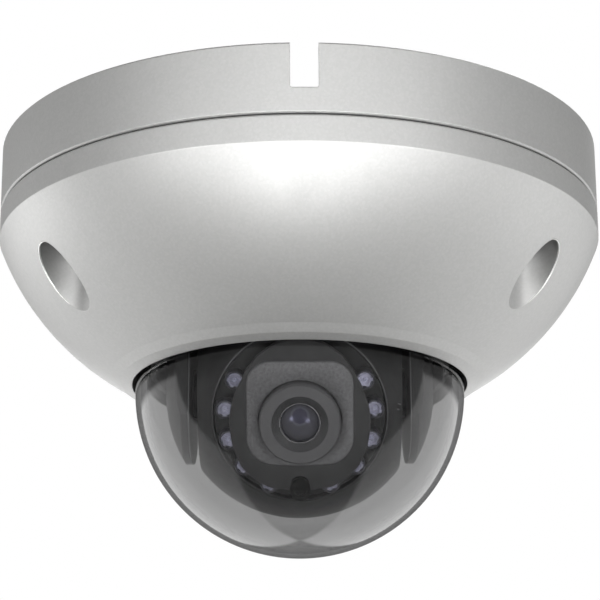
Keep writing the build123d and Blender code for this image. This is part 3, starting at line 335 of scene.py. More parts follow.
paint = satinSilverPaint()
smoke = smokedPolycarbonate()
nylon = mouldedPlastic("glassFilledNylon", "303031", "3A3A3B", 0.42, 0.0005, 0.00002, 1.53, 0.0003)
satinBlack = mouldedPlastic(
    "satinBlackPolycarbonate", "262627", "303031", 0.36, 0.0007, 0.000012, 1.45, 0.0003,
)
# lighter plastic for the ball rim and arm ribs, whose light tone is a painted highlight line, and for the tilt
# marks
trimAndHighlightPlastic = mouldedPlastic("paintedHighlightAndTrimPolycarbonate", "6E6E70", "88888A", 0.3, 0.0005, 0.000006, 1.58)
holderPlastic = mouldedPlastic("blackPolycarbonateHolder", "1D1D1E", "262627", 0.5, 0.0004, 0.00001, 1.58)
blackZinc = platedMetal("blackZincPlate", "1C1C1E", "2A2A2C", 0.4)
finishOfSlot = {
    "cast_aluminium_base": paint,
    "cast_aluminium_cover": paint,
    "smoked_polycarbonate": smoke,
    "stainless_screw": platedMetal("passivatedStainless", "9A9A98", "B2B2B0", 0.32),
    "zinc_screw": platedMetal("brightZincPlate", "B4B6BA", "CDCFD2", 0.3),
    "plated_brass": platedMetal("nickelPlatedBrass", "BDB8AA", "CFCBBE", 0.25),
    "silicone_seal": rubber("siliconeRubber", "262627", "303030", 0.7),
    "clamp_steel": spangledZinc(),
    "black_moulding": nylon,
    "ball_plastic": satinBlack,
    "board_laminate": solderMask("greenSolderMask", "14502E", "1F6B3E", 0.0011),
    "light_board_laminate": solderMask("blackSolderMask", "0D0D0E", "161618", 0.0009),
    "chip_package": mouldedPlastic("epoxyChipPackage", "222224", "2B2B2D", 0.6, 0.0003, 0.00001, 1.55),
    "thermal_pad": rubber("thermalSilicone", "8796A6", "95A4B3", 0.75),
    "capacitor_can": platedMetal("drawnAluminiumCan", "C8C8CA", "DADADC", 0.28),
    "socket_nylon": mouldedPlastic("naturalNylon", "DCD8CC", "E8E5DB", 0.4, 0.0004, 0.00001),
    "card_shell_steel": platedMetal("tinnedSteelSheet", "B4B4B2", "CACAC8", 0.26),
    "memory_card_plastic": mouldedPlastic("glossBlackAbs", "18181A", "202022", 0.25, 0.0006, 0.000006, 1.54),
    "reset_button": mouldedPlastic("offWhiteAcetal", "CBC8BF", "D8D5CD", 0.35, 0.0004, 0.000008, 1.48),
    "flat_cable": flatCable(),
    "light_epoxy": clearEpoxy(),
    "sensor_sleeve": rubber("mattBlackSleeve", "070707", "0D0D0D", 0.85),
    "isolation_rubber": rubber("isolationRubber", "434344", "4E4E4F", 0.62),
    "face_plastic": sparkTexturedFace(),
    "lens_metal": anodisedBlack(),
    "lens_glass": lensGlass(),
    "holder_plastic": holderPlastic,
    "filter_glass": coatedGlass("infraredCutGlass", "5FA0AC", "C07A8A", 1.52),
    "sensor_silicon": coatedGlass("coverGlassOverSilicon", "2A2232", "5A4A78", 1.5),
}
blackened = (  # these are blackened, whatever metal their slot names
    "tilt_screws", "ball_screws", "head_ring_screws", "pan_ring_screws", "holder_screws",
    "tilt_washers", "pan_washer",
)
for name, node in nodes.items():
    node.data.materials.clear()
    node.data.materials.append(blackZinc if name in blackened else finishOfSlot[slotOf[name]])
print("finishes on CAD nodes done")


def linkPiece(name, mesh, *materials):
    piece = bpy.data.objects.new(name, mesh)
    bpy.context.scene.collection.objects.link(piece)
    for material in materials:
        mesh.materials.append(material)
    return piece


def closeMesh(mesh, sharp=35):  # merged, faces outwards, edges sharper than this many degrees stay crisp
    shell = bmesh.new()
    shell.from_mesh(mesh)
    bmesh.ops.remove_doubles(shell, verts=shell.verts, dist=1e-6)
    bmesh.ops.recalc_face_normals(shell, faces=shell.faces)
    for face in shell.faces:
        face.smooth = True
    shell.to_mesh(mesh)
    shell.free()
    mesh.set_sharp_from_angle(angle=radians(sharp))
    mesh.update()


def meshFromShell(shell):
    mesh = bpy.data.meshes.new("shape")
    shell.to_mesh(mesh)
    shell.free()
    return mesh


def ringMesh(rings, segments=48):
    # closed shape from (radius, height) rings: a radius may be a function of the angle, and 0 is a pole
    shell = bmesh.new()
    loops = []
    for radius, height in rings:
        if radius == 0:
            loops.append([shell.verts.new((0, 0, height))] * segments)
            continue
        loop = []
        for k in range(segments):
            turn = 2 * pi * k / segments
            r = radius(turn) if callable(radius) else radius
            loop.append(shell.verts.new((r * cos(turn), r * sin(turn), height)))
        loops.append(loop)
    for one, two in zip(loops, loops[1:]):
        for k in range(segments):
            after = (k + 1) % segments
            corners = list(dict.fromkeys((one[k], one[after], two[after], two[k])))
            if len(corners) > 2:
                shell.faces.new(corners)
    return meshFromShell(shell)


def roundSection(place, reach, first, second):  # eight points round a place, in the plane of two directions
    turns = [pi * n / 4 for n in range(8)]
    return [place + reach * (cos(turn) * first + sin(turn) * second) for turn in turns]


def tubeMesh(tubes):  # each tube is a row of sections, closed at both ends
    shell = bmesh.new()
    for sections in tubes:
        loops = [[shell.verts.new(point) for point in section] for section in sections]
        for one, two in zip(loops, loops[1:]):
            for n in range(len(one)):
                after = (n + 1) % len(one)
                shell.faces.new((one[n], one[after], two[after], two[n]))
        shell.faces.new(loops[0])
        shell.faces.new(loops[-1])
    return meshFromShell(shell)


def sectionMesh(section, closed=False):  # half section as a chain of edges in the XZ plane
    count = len(section)
    edges = [(k, (k + 1) % count) for k in range(count if closed else count - 1)]
    mesh = bpy.data.meshes.new("section")
    mesh.from_pydata([(r, 0, z) for r, z in section], edges, [])
    return mesh


def startTree(name, inputs):
    tree = bpy.data.node_groups.new(name, "GeometryNodeTree")
    tree.interface.new_socket("Geometry", in_out="INPUT", socket_type="NodeSocketGeometry")
    tree.interface.new_socket("Geometry", in_out="OUTPUT", socket_type="NodeSocketGeometry")
    for label, kind in inputs.items():
        tree.interface.new_socket(label, in_out="INPUT", socket_type=kind)
    return tree, addNode(tree, "NodeGroupInput").outputs, addNode(tree, "NodeGroupOutput")


def finishTree(tree, given, out, shape):
    real = addNode(tree, "GeometryNodeRealizeInstances", {}, {"Geometry": shape})
    done = addNode(tree, "GeometryNodeSetMaterial", {}, {"Geometry": real, "Material": given["Material"]})
    tree.links.new(done.outputs[0], out.inputs[0])
    return tree


def bakeTree(piece, tree, values):  # sets the inputs, takes the result as a plain mesh and drops the modifier
    modifier = piece.modifiers.new(tree.name, "NODES")
    modifier.node_group = tree
    sockets = {item.name: item.identifier for item in tree.interface.items_tree if item.in_out == "INPUT"}
    for label, value in values.items():
        modifier[sockets[label]] = value
    graph = bpy.context.evaluated_depsgraph_get()
    mesh = bpy.data.meshes.new_from_object(piece.evaluated_get(graph), depsgraph=graph)
    piece.modifiers.clear()
    piece.data = mesh


def spinTree():  # turns a half section, edges in the XZ plane, round Z
    inputs = {"Segments": "NodeSocketInt", "Material": "NodeSocketMaterial"}
    tree, given, out = startTree("spinSection", inputs)
    upright = {"Rotation": (radians(90), 0, 0)}
    flat = addNode(tree, "GeometryNodeTransform", upright, {"Geometry": given["Geometry"]})
    section = addNode(tree, "GeometryNodeMeshToCurve", {}, {"Mesh": flat})
    count = {"Resolution": given["Segments"]}
    axle = addNode(tree, "GeometryNodeCurvePrimitiveCircle", {"Radius": 1e-7}, count)
    level = addNode(tree, "GeometryNodeSetCurveNormal", {"mode": "Z_UP"}, {"Curve": axle})
    skin = addNode(tree, "GeometryNodeCurveToMesh", {}, {0: level, 1: section})
    closed = addNode(tree, "GeometryNodeMergeByDistance", {"Distance": 2e-6}, {"Geometry": skin})
    return finishTree(tree, given, out, closed)


def circleTree():  # puts a shape at equal steps round a circle, except from Skip From to Skip To
    tree, given, out = startTree("stepsRoundCircle", {
        "Steps": "NodeSocketInt", "Circle Radius": "NodeSocketFloat", "First Angle": "NodeSocketFloat",
        "Skip From": "NodeSocketInt", "Skip To": "NodeSocketInt", "Skip First": "NodeSocketBool",
        "Material": "NodeSocketMaterial",
    })
    points = addNode(tree, "GeometryNodePoints", {}, {"Count": given["Steps"]})
    index = addNode(tree, "GeometryNodeInputIndex")
    share = addNode(tree, "ShaderNodeMath", {"operation": "DIVIDE"}, {0: index, 1: given["Steps"]})
    angle = {"operation": "MULTIPLY_ADD", 1: 2 * pi}
    turn = addNode(tree, "ShaderNodeMath", angle, {0: share, 2: given["First Angle"]})
    across = addNode(tree, "ShaderNodeMath", {"operation": "SINE"}, {0: turn})
    along = addNode(tree, "ShaderNodeMath", {"operation": "COSINE"}, {0: turn})
    back = addNode(tree, "ShaderNodeMath", {"operation": "MULTIPLY", 1: -1.0}, {0: along})
    way = addNode(tree, "ShaderNodeCombineXYZ", {}, {"X": across, "Y": back})
    reach = {0: way, "Scale": given["Circle Radius"]}
    place = addNode(tree, "ShaderNodeVectorMath", {"operation": "SCALE"}, reach)
    ring = addNode(tree, "GeometryNodeSetPosition", {}, {"Geometry": points, "Position": place})
    facing = addNode(tree, "FunctionNodeAxisAngleToRotation", {"Axis": (0, 0, 1)}, {"Angle": turn})
    label = {"data_type": "QUATERNION", "domain": "POINT", "Name": "facing"}
    turned = addNode(tree, "GeometryNodeStoreNamedAttribute", label, {"Geometry": ring, "Value": facing})
    atLeast = {"data_type": "INT", "operation": "GREATER_EQUAL"}
    atMost = {"data_type": "INT", "operation": "LESS_EQUAL"}
    fromHere = addNode(tree, "FunctionNodeCompare", atLeast, {"A": index, "B": given["Skip From"]})
    toHere = addNode(tree, "FunctionNodeCompare", atMost, {"A": index, "B": given["Skip To"]})
    first = addNode(tree, "FunctionNodeCompare", {"data_type": "INT", "operation": "EQUAL"}, {"A": index})
    between = addNode(tree, "FunctionNodeBooleanMath", {"operation": "AND"}, {0: fromHere, 1: toHere})
    atFirst = {0: first, 1: given["Skip First"]}
    noFirst = addNode(tree, "FunctionNodeBooleanMath", {"operation": "AND"}, atFirst)
    gone = addNode(tree, "FunctionNodeBooleanMath", {"operation": "OR"}, {0: between, 1: noFirst})
    picked = {"Geometry": turned, "Selection": gone}
    left = addNode(tree, "GeometryNodeDeleteGeometry", {"domain": "POINT"}, picked)
    kept = addNode(tree, "GeometryNodeInputNamedAttribute", {"data_type": "QUATERNION", "Name": "facing"})
    copied = {"Points": left, "Instance": given["Geometry"], "Rotation": kept}
    copies = addNode(tree, "GeometryNodeInstanceOnPoints", {}, copied)
    return finishTree(tree, given, out, copies)


spinSection = spinTree()
stepsRoundCircle = circleTree()


def buildBubble():
    low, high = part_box("bubble")
    dome = {"outer": 0.02975, "inner": 0.02775, "flangeHeight": 0.0016, "segments": 192, "steps": 40}
    flange = (high[0] - low[0]) / 2
    top = high[2]
    shoulder = top - dome["flangeHeight"]

    def quarter(radius):  # from the lowest point up to the height of the ball's centre
        turns = [pi / 2 * k / dome["steps"] for k in range(dome["steps"] + 1)]
        return [(radius * sin(turn), ballCentre.z - radius * cos(turn)) for turn in turns]

    section = quarter(dome["outer"])
    section += [(dome["outer"], shoulder), (flange, shoulder), (flange, top), (dome["inner"], top)]
    section += quarter(dome["inner"])[::-1]
    piece = linkPiece("bubbleDome", sectionMesh(section))
    bakeTree(piece, spinSection, {"Segments": dome["segments"], "Material": smoke})
    closeMesh(piece.data)
    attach(piece, "base")
    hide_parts("bubble")
    print("bubble:", len(piece.data.polygons), "faces")
    return piece


def buildCoverScrews():
    low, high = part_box("cover_screws")
    star = {
        "count": 3, "head": 0.0035, "headHeight": 0.0022, "headRound": 0.0007, "flat": 0.0022,
        "shank": 0.0015, "pitch": 0.0005, "threadDeep": 0.9, "plain": 0.003, "lead": 0.0006,
        "tipRound": 0.0004, "rounding": ((0.00012, 0.0004), (0.0004, 0.00015)),
        "recess": 0.00155, "lobe": 0.00022, "deep": 0.0013,
        "pin": 0.0004, "pinFoot": 0.0002, "pinLow": 0.0003,
    }
    face, tip = low[2], high[2]
    seat = face + star["headHeight"]
    head, shank, pin = star["head"], star["shank"], star["pin"]
    lobes = lambda turn: star["recess"] + star["lobe"] * cos(6 * turn)
    rings = [(0, tip), (shank * 0.7, tip), (shank, tip - star["tipRound"])]
    thread = tip - star["lead"]
    while thread > seat + star["plain"]:
        rings += [(shank * star["threadDeep"], thread), (shank, thread - star["pitch"] / 2)]
        thread -= star["pitch"]
    rings += [(shank, seat), (head, seat), (head, face + star["headRound"])]
    rings += [(head - inset, face + rise) for inset, rise in star["rounding"]]
    rings.append((head - star["headRound"], face))
    rings += [(star["flat"], face), (lobes, face), (lobes, face + star["deep"])]
    rings += [(pin + star["pinFoot"], face + star["deep"]), (pin, face + pin)]
    rings += [(pin * 0.6, face + star["pinLow"]), (0, face + star["pinLow"])]
    piece = linkPiece("coverStarScrews", ringMesh(rings, 72))
    bakeTree(piece, stepsRoundCircle, {
        "Steps": star["count"], "Circle Radius": screwCircle, "First Angle": pi / star["count"],
        "Skip From": -1, "Skip To": -1, "Skip First": False, "Material": finishOfSlot["stainless_screw"],
    })
    closeMesh(piece.data)
    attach(piece, "base")
    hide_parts("cover_screws")
    print("cover screws:", len(piece.data.polygons), "faces")


def buildLights():
    lamp = {
        "circle": 0.01275, "places": 15, "skipFrom": 6, "skipTo": 9,  # heights run along the lens axis
        "board": 0.01539, "height": 0.0033, "radius": 0.00165, "window": 0.00135, "corner": 0.0001,
        "lens": 0.0005, "skirt": 0.0004, "sunk": 0.00005, "fit": 0.00002, "domeSteps": 10, "well": 0.0011,
        "cup": 0.00098, "scallop": 0.1, "cupHigh": 0.0006, "cupMouth": 0.00082,
        "cupFoot": 0.00046, "cupFloor": 0.0002,
        "die": 0.00024, "dieLow": 0.00022, "dieHigh": 0.0004,
    }
    cupFinish = mouldedPlastic("whiteReflectorCup", "A2A2AE", "E0E0EA", 0.3, 0.0003, 0.00002, 1.5)
    dieFinish = platedMetal("silveredLeadFrame", "D8DAEA", "F0F1FA", 0.22)
    bodyFinish = mouldedPlastic("greyEpoxyBody", "3C3C42", "5C5C64", 0.3, 0.0004, 0.00001, 1.54, 0.0002)
    base, r, w, c = lamp["board"], lamp["radius"], lamp["window"], lamp["corner"]
    top = base + lamp["height"]
    rim = top - lamp["lens"]
    floor = rim - lamp["well"]
    bottom = floor - 2 * c
    body = [(0, base), (r, base), (r, rim - c), (r - c, rim), (w + c, rim), (w, rim - c)]
    body += [(w, bottom), (0, bottom)]
    glass = w - lamp["fit"]
    rise = lamp["lens"] + lamp["sunk"]
    lens = [(0, rim - lamp["skirt"]), (glass, rim - lamp["skirt"])]
    for k in range(lamp["domeSteps"]):
        turn = pi / 2 * k / lamp["domeSteps"]
        lens.append((glass * cos(turn), rim - lamp["sunk"] + rise * sin(turn)))
    lens.append((0, top))
    fingers = lambda turn: lamp["cup"] * (1 + lamp["scallop"] * cos(6 * turn))
    cupTop, cupFloor = floor + lamp["cupHigh"], floor + lamp["cupFloor"]
    cup = [(0, floor), (fingers, floor), (fingers, cupTop)]
    cup += [(lamp["cupMouth"], cupTop), (lamp["cupFoot"], cupFloor), (0, cupFloor)]
    square = lambda turn: lamp["die"] / max(abs(cos(turn)), abs(sin(turn)))
    dieLow, dieHigh = floor + lamp["dieLow"], floor + lamp["dieHigh"]
    die = [(0, dieLow), (square, dieLow), (square, dieHigh), (0, dieHigh)]
    shapes = (
        ("lampBodies", body, bodyFinish), ("lampLenses", lens, finishOfSlot["light_epoxy"]),
        ("lampCups", cup, cupFinish), ("lampDice", die, dieFinish),
    )
    for name, rings, finish in shapes:
        piece = linkPiece(name, ringMesh(rings, 36))
        bakeTree(piece, stepsRoundCircle, {
            "Steps": lamp["places"], "Circle Radius": lamp["circle"], "First Angle": 0.0,
            "Skip From": lamp["skipFrom"], "Skip To": lamp["skipTo"], "Skip First": True, "Material": finish,
        })
        closeMesh(piece.data)
        piece.data.transform(aim)
        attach(piece, "head")
    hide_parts("infrared_lights")


def buildApertureEdge():  # polished edge of the lens barrel's aperture
    lip = {
        "reach": 0.0033, "wire": 0.00009, "front": 0.02349, "deep": 0.0009, "sunk": 0.6,
        "steps": 12, "segments": 96,
    }
    bright = platedMetal("polishedAluminiumEdge", "A8A8AA", "C0C0C2", 0.25)
    floor = lip["front"] - lip["deep"]
    turns = [2 * pi * k / lip["steps"] for k in range(lip["steps"])]
    wire = lip["wire"]
    section = [(lip["reach"] + wire * (1 + cos(t)), floor + wire * (lip["sunk"] + sin(t))) for t in turns]
    piece = linkPiece("apertureEdge", sectionMesh(section, True))
    bakeTree(piece, spinSection, {"Segments": lip["segments"], "Material": bright})
    closeMesh(piece.data, 80)
    piece.data.transform(aim)
    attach(piece, "head")
    print("aperture edge done")


def buildFrontGlass():  # the outermost element, a smooth cap
    glass = {"radius": 0.00326, "curve": 0.0054, "centre": 0.01741, "thick": 0.0014, "steps": 16}
    turns = [pi / 2 * k / glass["steps"] for k in range(glass["steps"], -1, -1)]
    back = glass["centre"] + glass["curve"] - glass["thick"]
    rings = [(0, back), (glass["radius"], back)]
    for turn in turns:
        reach = glass["radius"] * sin(turn)
        rings.append((reach, glass["centre"] + sqrt(glass["curve"] ** 2 - reach * reach)))
    piece = linkPiece("frontGlass", ringMesh(rings, 96), finishOfSlot["lens_glass"])
    closeMesh(piece.data, 30)
    piece.data.transform(aim)
    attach(piece, "head")
    print("front glass done")
    return piece


def plateReach(turn, half, corner, rise, bow=0.0008):  # from the lens axis to the side of a rounded square
    low, high = 0.0, 0.02
    for _ in range(30):
        r = (low + high) / 2
        x = max(abs(r * cos(turn)) - half + corner, 0)
        arch = bow * (r * cos(turn) / half) ** 2 if sin(turn) < 0 else 0.0  # the lower side bows out
        y = max(abs(r * sin(turn) - rise) - half + arch + corner, 0)
        low, high = (r, high) if hypot(x, y) < corner else (low, r)
    return low


def fromBelow(turn):  # angle from straight down, the same on both sides
    return abs((turn + pi * 1.5) % (2 * pi) - pi)


def buildCollar():  # moulded ring round the lens face, fuller at the top than a circle and notched below
    collar = {
        "body": 0.0110, "back": 0.01541, "under": 0.0190, "front": 0.02099, "floor": 0.02022, "bore": 0.00815,
        "edge": 0.0003, "hem": 0.0004, "wall": 0.00035, "half": 0.00903, "corner": 0.00403, "rise": 0.0013,
    }
    notch = {"low": 0.0112, "radius": 0.0017}
    template = [  # degrees from straight down and millimetres from the lens axis
        (0, 12.1), (14, 12.2), (26, 12.65), (50, 12.65), (62, 12.3), (80, 11.95),
        (112, 11.85), (124, 12.0), (136, 12.6), (150, 13.3), (165, 13.9), (180, 14.1),
    ]

    def notchReach(turn):
        across = notch["low"] * sin(fromBelow(turn))
        if fromBelow(turn) > pi / 2 or across >= notch["radius"]:
            return 1.0
        return notch["low"] * cos(fromBelow(turn)) - sqrt(notch["radius"] ** 2 - across ** 2)

    def outline(turn, grow=0.0):
        angle = degrees(fromBelow(turn))
        for (a0, r0), (a1, r1) in zip(template, template[1:]):
            if a0 <= angle <= a1 + 1e-6:
                share = (angle - a0) / (a1 - a0)
                share = share * share * (3 - 2 * share)
                return min((r0 + (r1 - r0) * share) / 1000 + grow, notchReach(turn))
        return template[-1][1] / 1000 + grow

    def bodyOutline(turn):
        return min(collar["body"], notchReach(turn))

    def pocket(turn):  # room for the face plate
        plate = plateReach(turn, collar["half"], collar["corner"], collar["rise"])
        return min(plate, outline(turn, -collar["wall"]))

    back, under, front, floor = collar["back"], collar["under"], collar["front"], collar["floor"]
    bore, edge, hem = collar["bore"], collar["edge"], collar["hem"]
    rings = [(bore, back), (bodyOutline, back), (bodyOutline, under), (lambda t: outline(t, -hem), under)]
    rings += [(outline, under + hem), (outline, front - edge)]
    rings += [(lambda t: outline(t, -edge * 0.3), front - edge * 0.3), (lambda t: outline(t, -edge), front)]
    rings += [(pocket, front), (pocket, floor), (bore, floor), (bore, back)]
    collarShape = ringMesh(rings, 288)
    piece = linkPiece("isolationCollar", collarShape, finishOfSlot["isolation_rubber"])
    closeMesh(piece.data, 40)
    piece.data.transform(aim)
    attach(piece, "head")
    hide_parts("isolation_ring")
    print("collar:", len(piece.data.polygons), "faces")


def buildFace():  # textured plate round the lens
    plate = {
        "half": 0.0090, "corner": 0.0040, "rise": 0.0013, "bore": 0.00706, "back": 0.02024,
        "front": 0.02139, "edge": 0.0003, "boreEdge": 0.0002,
    }
    side = lambda turn: plateReach(turn, plate["half"], plate["corner"], plate["rise"])
    bore, b, f, e = plate["bore"], plate["back"], plate["front"], plate["edge"]
    rings = [(bore, b), (side, b), (side, f - e), (lambda t: side(t) - e * 0.3, f - e * 0.3)]
    rings += [(lambda t: side(t) - e, f), (bore + plate["boreEdge"], f)]
    rings += [(bore, f - plate["boreEdge"]), (bore, b)]
    piece = linkPiece("lensFacePlate", ringMesh(rings, 192), finishOfSlot["face_plastic"])
    closeMesh(piece.data, 50)
    piece.data.transform(aim)
    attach(piece, "head")
    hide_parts("lens_face")
    print("lens face done")
    return piece


def buildLip():  # facet round the cover's mouth, flatter than the side it grows out of
    lip = {
        "mouth": 0.030305, "low": -0.04362, "facet": 0.0021, "slope": radians(19), "blend": 0.0016,
        "deep": 0.0016, "edge": 0.00008, "facetSteps": 4, "blendSteps": 8, "hollow": 0.00002, "segments": 256,
        "dive": ((0.0005, 0.00005), (0.001, 0.0002)), "under": 0.0004, "back": (0.0009, 0.0014),
    }
    m, low, edge = lip["mouth"], lip["low"], lip["edge"]
    turn = m + lip["facet"]
    turnHigh = low + lip["facet"] * tan(lip["slope"])
    out = turn + lip["blend"]
    rings = [(m, low + lip["deep"]), (m, low + edge), (m + edge, low + edge / 4)]
    for k in range(1, lip["facetSteps"] + 1):
        reach = lip["facet"] * k / lip["facetSteps"]
        rings.append((m + reach, low + reach * tan(lip["slope"])))
    for k in range(1, lip["blendSteps"] + 1):  # hollow sweep up into the side
        share = k / lip["blendSteps"]
        high = turnHigh + (sideHeight(out) - turnHigh) * share
        rings.append((turn + lip["blend"] * share, high - lip["hollow"] * sin(pi * share)))
    # the outer edge dives under the side, and the back stays inside the wall
    rings += [(out + more, sideHeight(out + more) + rise) for more, rise in lip["dive"]]
    rings += [(turn, sideHeight(turn) + lip["under"]), (m + lip["back"][0], low + lip["back"][1])]
    rings.append((m, low + lip["deep"]))
    piece = linkPiece("mouthEdge", ringMesh(rings, lip["segments"]), paint)
    closeMesh(piece.data, 14)
    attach(piece, "base")
    print("mouth edge done")


def buildLiner():  # the liner's rim is cut back so that the head shows right up to the mouth
    liner = {"rim": -0.0434, "raised": -0.04222}
    source = nodes["inner_liner"]
    mesh = source.data.copy()
    mesh.transform(source.matrix_world)
    for vertex in mesh.vertices:
        if vertex.co.z < liner["rim"]:
            vertex.co.z = liner["raised"]
    mesh.materials.clear()
    piece = linkPiece("linerShell", mesh, nylon)
    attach(piece, "base")
    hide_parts("inner_liner")
    print("liner done")


def buildRecessEdges():  # painted highlight: a bright metal bead, widest on the flank of each screw recess that looks sideways
    cut = {
        "recess": 0.00449, "wide": 0.00017, "thin": 0.00001, "taper": 0.6,
        "from": -15.0, "to": 128.0, "steps": 40,
    }
    up = Vector((0, 0, 1))
    tubes = []
    for angle, hand in ((-60, -1), (60, 1), (180, 1)):
        out = Vector((sin(radians(angle)), -cos(radians(angle)), 0))
        flank = Vector((-out.y, out.x, 0)) * hand
        sections = []
        for k in range(cut["steps"] + 1):
            share = k / cut["steps"]
            turn = radians(cut["from"] + (cut["to"] - cut["from"]) * share)
            away = out * cos(turn) + flank * sin(turn)
            place = out * screwCircle + away * cut["recess"]
            place.z = sideHeight(place.length)
            thick = cut["wide"] * sin(pi * share) ** cut["taper"] + cut["thin"]
            sections.append(roundSection(place, thick, away, up))
        tubes.append(sections)
    bright = platedMetal("paintedHighlightBead", "F0F0EE", "FAFAF8", 0.4)
    piece = linkPiece("recessEdges", tubeMesh(tubes), bright)
    closeMesh(piece.data, 80)
    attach(piece, "base")
    print("recess edges:", len(piece.data.polygons), "faces")


def buildBallRim():  # edge round the ball's mouth in lighter plastic, a painted highlight line, widest at the top
    rim = {
        "radius": 0.01495, "front": 0.01654, "wire": 0.00015, "least": 0.55, "topWiden": 0.5, "flat": 0.7,
        "steps": 10, "segments": 144,
    }

    def edgeReach(turn, across):
        return rim["radius"] + rim["wire"] * (rim["least"] + rim["topWiden"] * sin(turn)) * across

    rings = []
    for n in range(rim["steps"] + 1):
        around = 2 * pi * n / rim["steps"]
        reach = lambda turn, across=cos(around): edgeReach(turn, across)
        rings.append((reach, rim["front"] + rim["flat"] * rim["wire"] * sin(around)))
    piece = linkPiece("ballRim", ringMesh(rings, rim["segments"]), trimAndHighlightPlastic)
    closeMesh(piece.data, 80)
    piece.data.transform(aim)
    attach(piece, "ball")
    print("ball rim done")


def buildArmRibs():  # thin rib in lighter plastic down the front of each arm and round its lower end: a painted highlight line on the arm's edge
    rib = {
        "inside": 0.01922, "front": -0.01102, "top": -0.0405, "straight": 0.00655, "end": 0.0128,
        "wire": 0.00013, "steps": 12, "endFrom": 34, "endStep": 4,
    }
    drop = ballCentre.z - rib["straight"] - rib["top"]
    path = [(rib["front"], rib["top"] + drop * k / rib["steps"]) for k in range(rib["steps"] + 1)]
    for k in range(rib["steps"]):
        turn = radians(rib["endFrom"] + rib["endStep"] * k)
        path.append((-rib["end"] * cos(turn), ballCentre.z - rib["end"] * sin(turn)))
    side = Vector((1, 0, 0))
    tubes = []
    for hand in (-1, 1):
        sections = []
        for k, (y, z) in enumerate(path):
            before, after = path[max(k - 1, 0)], path[min(k + 1, len(path) - 1)]
            along = Vector((0, after[0] - before[0], after[1] - before[1])).normalized()
            place = Vector((hand * rib["inside"], y, z))
            sections.append(roundSection(place, rib["wire"], side, along.cross(side)))
        tubes.append(sections)
    piece = linkPiece("armRibs", tubeMesh(tubes), trimAndHighlightPlastic)
    closeMesh(piece.data, 80)
    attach(piece, "yoke")
    print("arm ribs done")


def buildTiltMarks():  # two raised dashes on the ball beside the tilt pivot
    mark = {
        "across": 0.0169, "front": -0.01348, "low": (-0.0056, -0.0066), "ball": 0.0225,
        "half": 0.00042, "wide": 0.00008, "high": 0.00012, "shoulder": 0.7, "crown": 0.8,
    }
    high = mark["high"]
    oval = lambda t: (abs(cos(t) / mark["half"]) ** 4 + abs(sin(t) / mark["wide"]) ** 4) ** -0.25
    rings = [(0, -high), (oval, -high), (oval, high * mark["shoulder"])]
    rings += [(lambda t: oval(t) * mark["crown"], high), (0, high)]
    shell = bmesh.new()
    for low in mark["low"]:
        dash = ringMesh(rings, 24)
        away = Vector((mark["across"], mark["front"], ballCentre.z + low)) - ballCentre
        facing = away.to_track_quat("Z", "X").to_matrix().to_4x4()
        place = away.normalized() * mark["ball"] + ballCentre
        dash.transform(Matrix.Translation(place) @ facing @ Matrix.Rotation(radians(90), 4, "Z"))
        shell.from_mesh(dash)
    piece = linkPiece("tiltMarks", meshFromShell(shell), trimAndHighlightPlastic)
    closeMesh(piece.data, 40)
    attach(piece, "ball")
    print("tilt marks done")


bubblePiece = buildBubble()
buildCoverScrews()
buildLights()
buildApertureEdge()
frontGlass = buildFrontGlass()
buildCollar()
facePiece = buildFace()
buildLip()
buildLiner()
buildRecessEdges()
buildBallRim()
buildArmRibs()
buildTiltMarks()


def addCamera():
    view = {
        "distance": 0.410, "below": radians(17.686), "target": -0.02692, "lens": 133.82, "sensor": 36,
        "roll": radians(-0.266), "shift": 0.0011, "near": 0.01, "far": 20,
    }
    target = Vector((0, 0, view["target"]))
    place = target + view["distance"] * Vector((0, -cos(view["below"]), -sin(view["below"])))
    data = bpy.data.cameras.new("viewCamera")
    data.lens = view["lens"]
    data.sensor_width = view["sensor"]
    data.clip_start = view["near"]
    data.clip_end = view["far"]
    data.shift_x = view["shift"]
    camera = bpy.data.objects.new("viewCamera", data)
    camera.location = place
    look = (target - place).to_track_quat("-Z", "Y").to_matrix().to_4x4()
    camera.rotation_euler = (look @ Matrix.Rotation(view["roll"], 4, "Z")).to_euler()
    bpy.context.scene.collection.objects.link(camera)
    bpy.context.scene.camera = camera
    bpy.context.scene.view_settings.view_transform = "Standard"


def addPanel(name, place, target, width, height, watts, linked, state):  # linked pieces are left out or alone
    data = bpy.data.lights.new(name, "AREA")
    data.shape = "RECTANGLE"
    data.size = width
    data.size_y = height
    data.energy = watts
    panel = bpy.data.objects.new(name, data)
    panel.location = place
    panel.rotation_euler = (Vector(target) - Vector(place)).to_track_quat("-Z", "Y").to_euler()
    bpy.context.scene.collection.objects.link(panel)
    group = bpy.data.collections.new(name + "Linked")
    for piece in linked:
        group.objects.link(piece)
    panel.light_linking.receiver_collection = group
    for row in group.collection_objects:
        row.light_linking.link_state = state


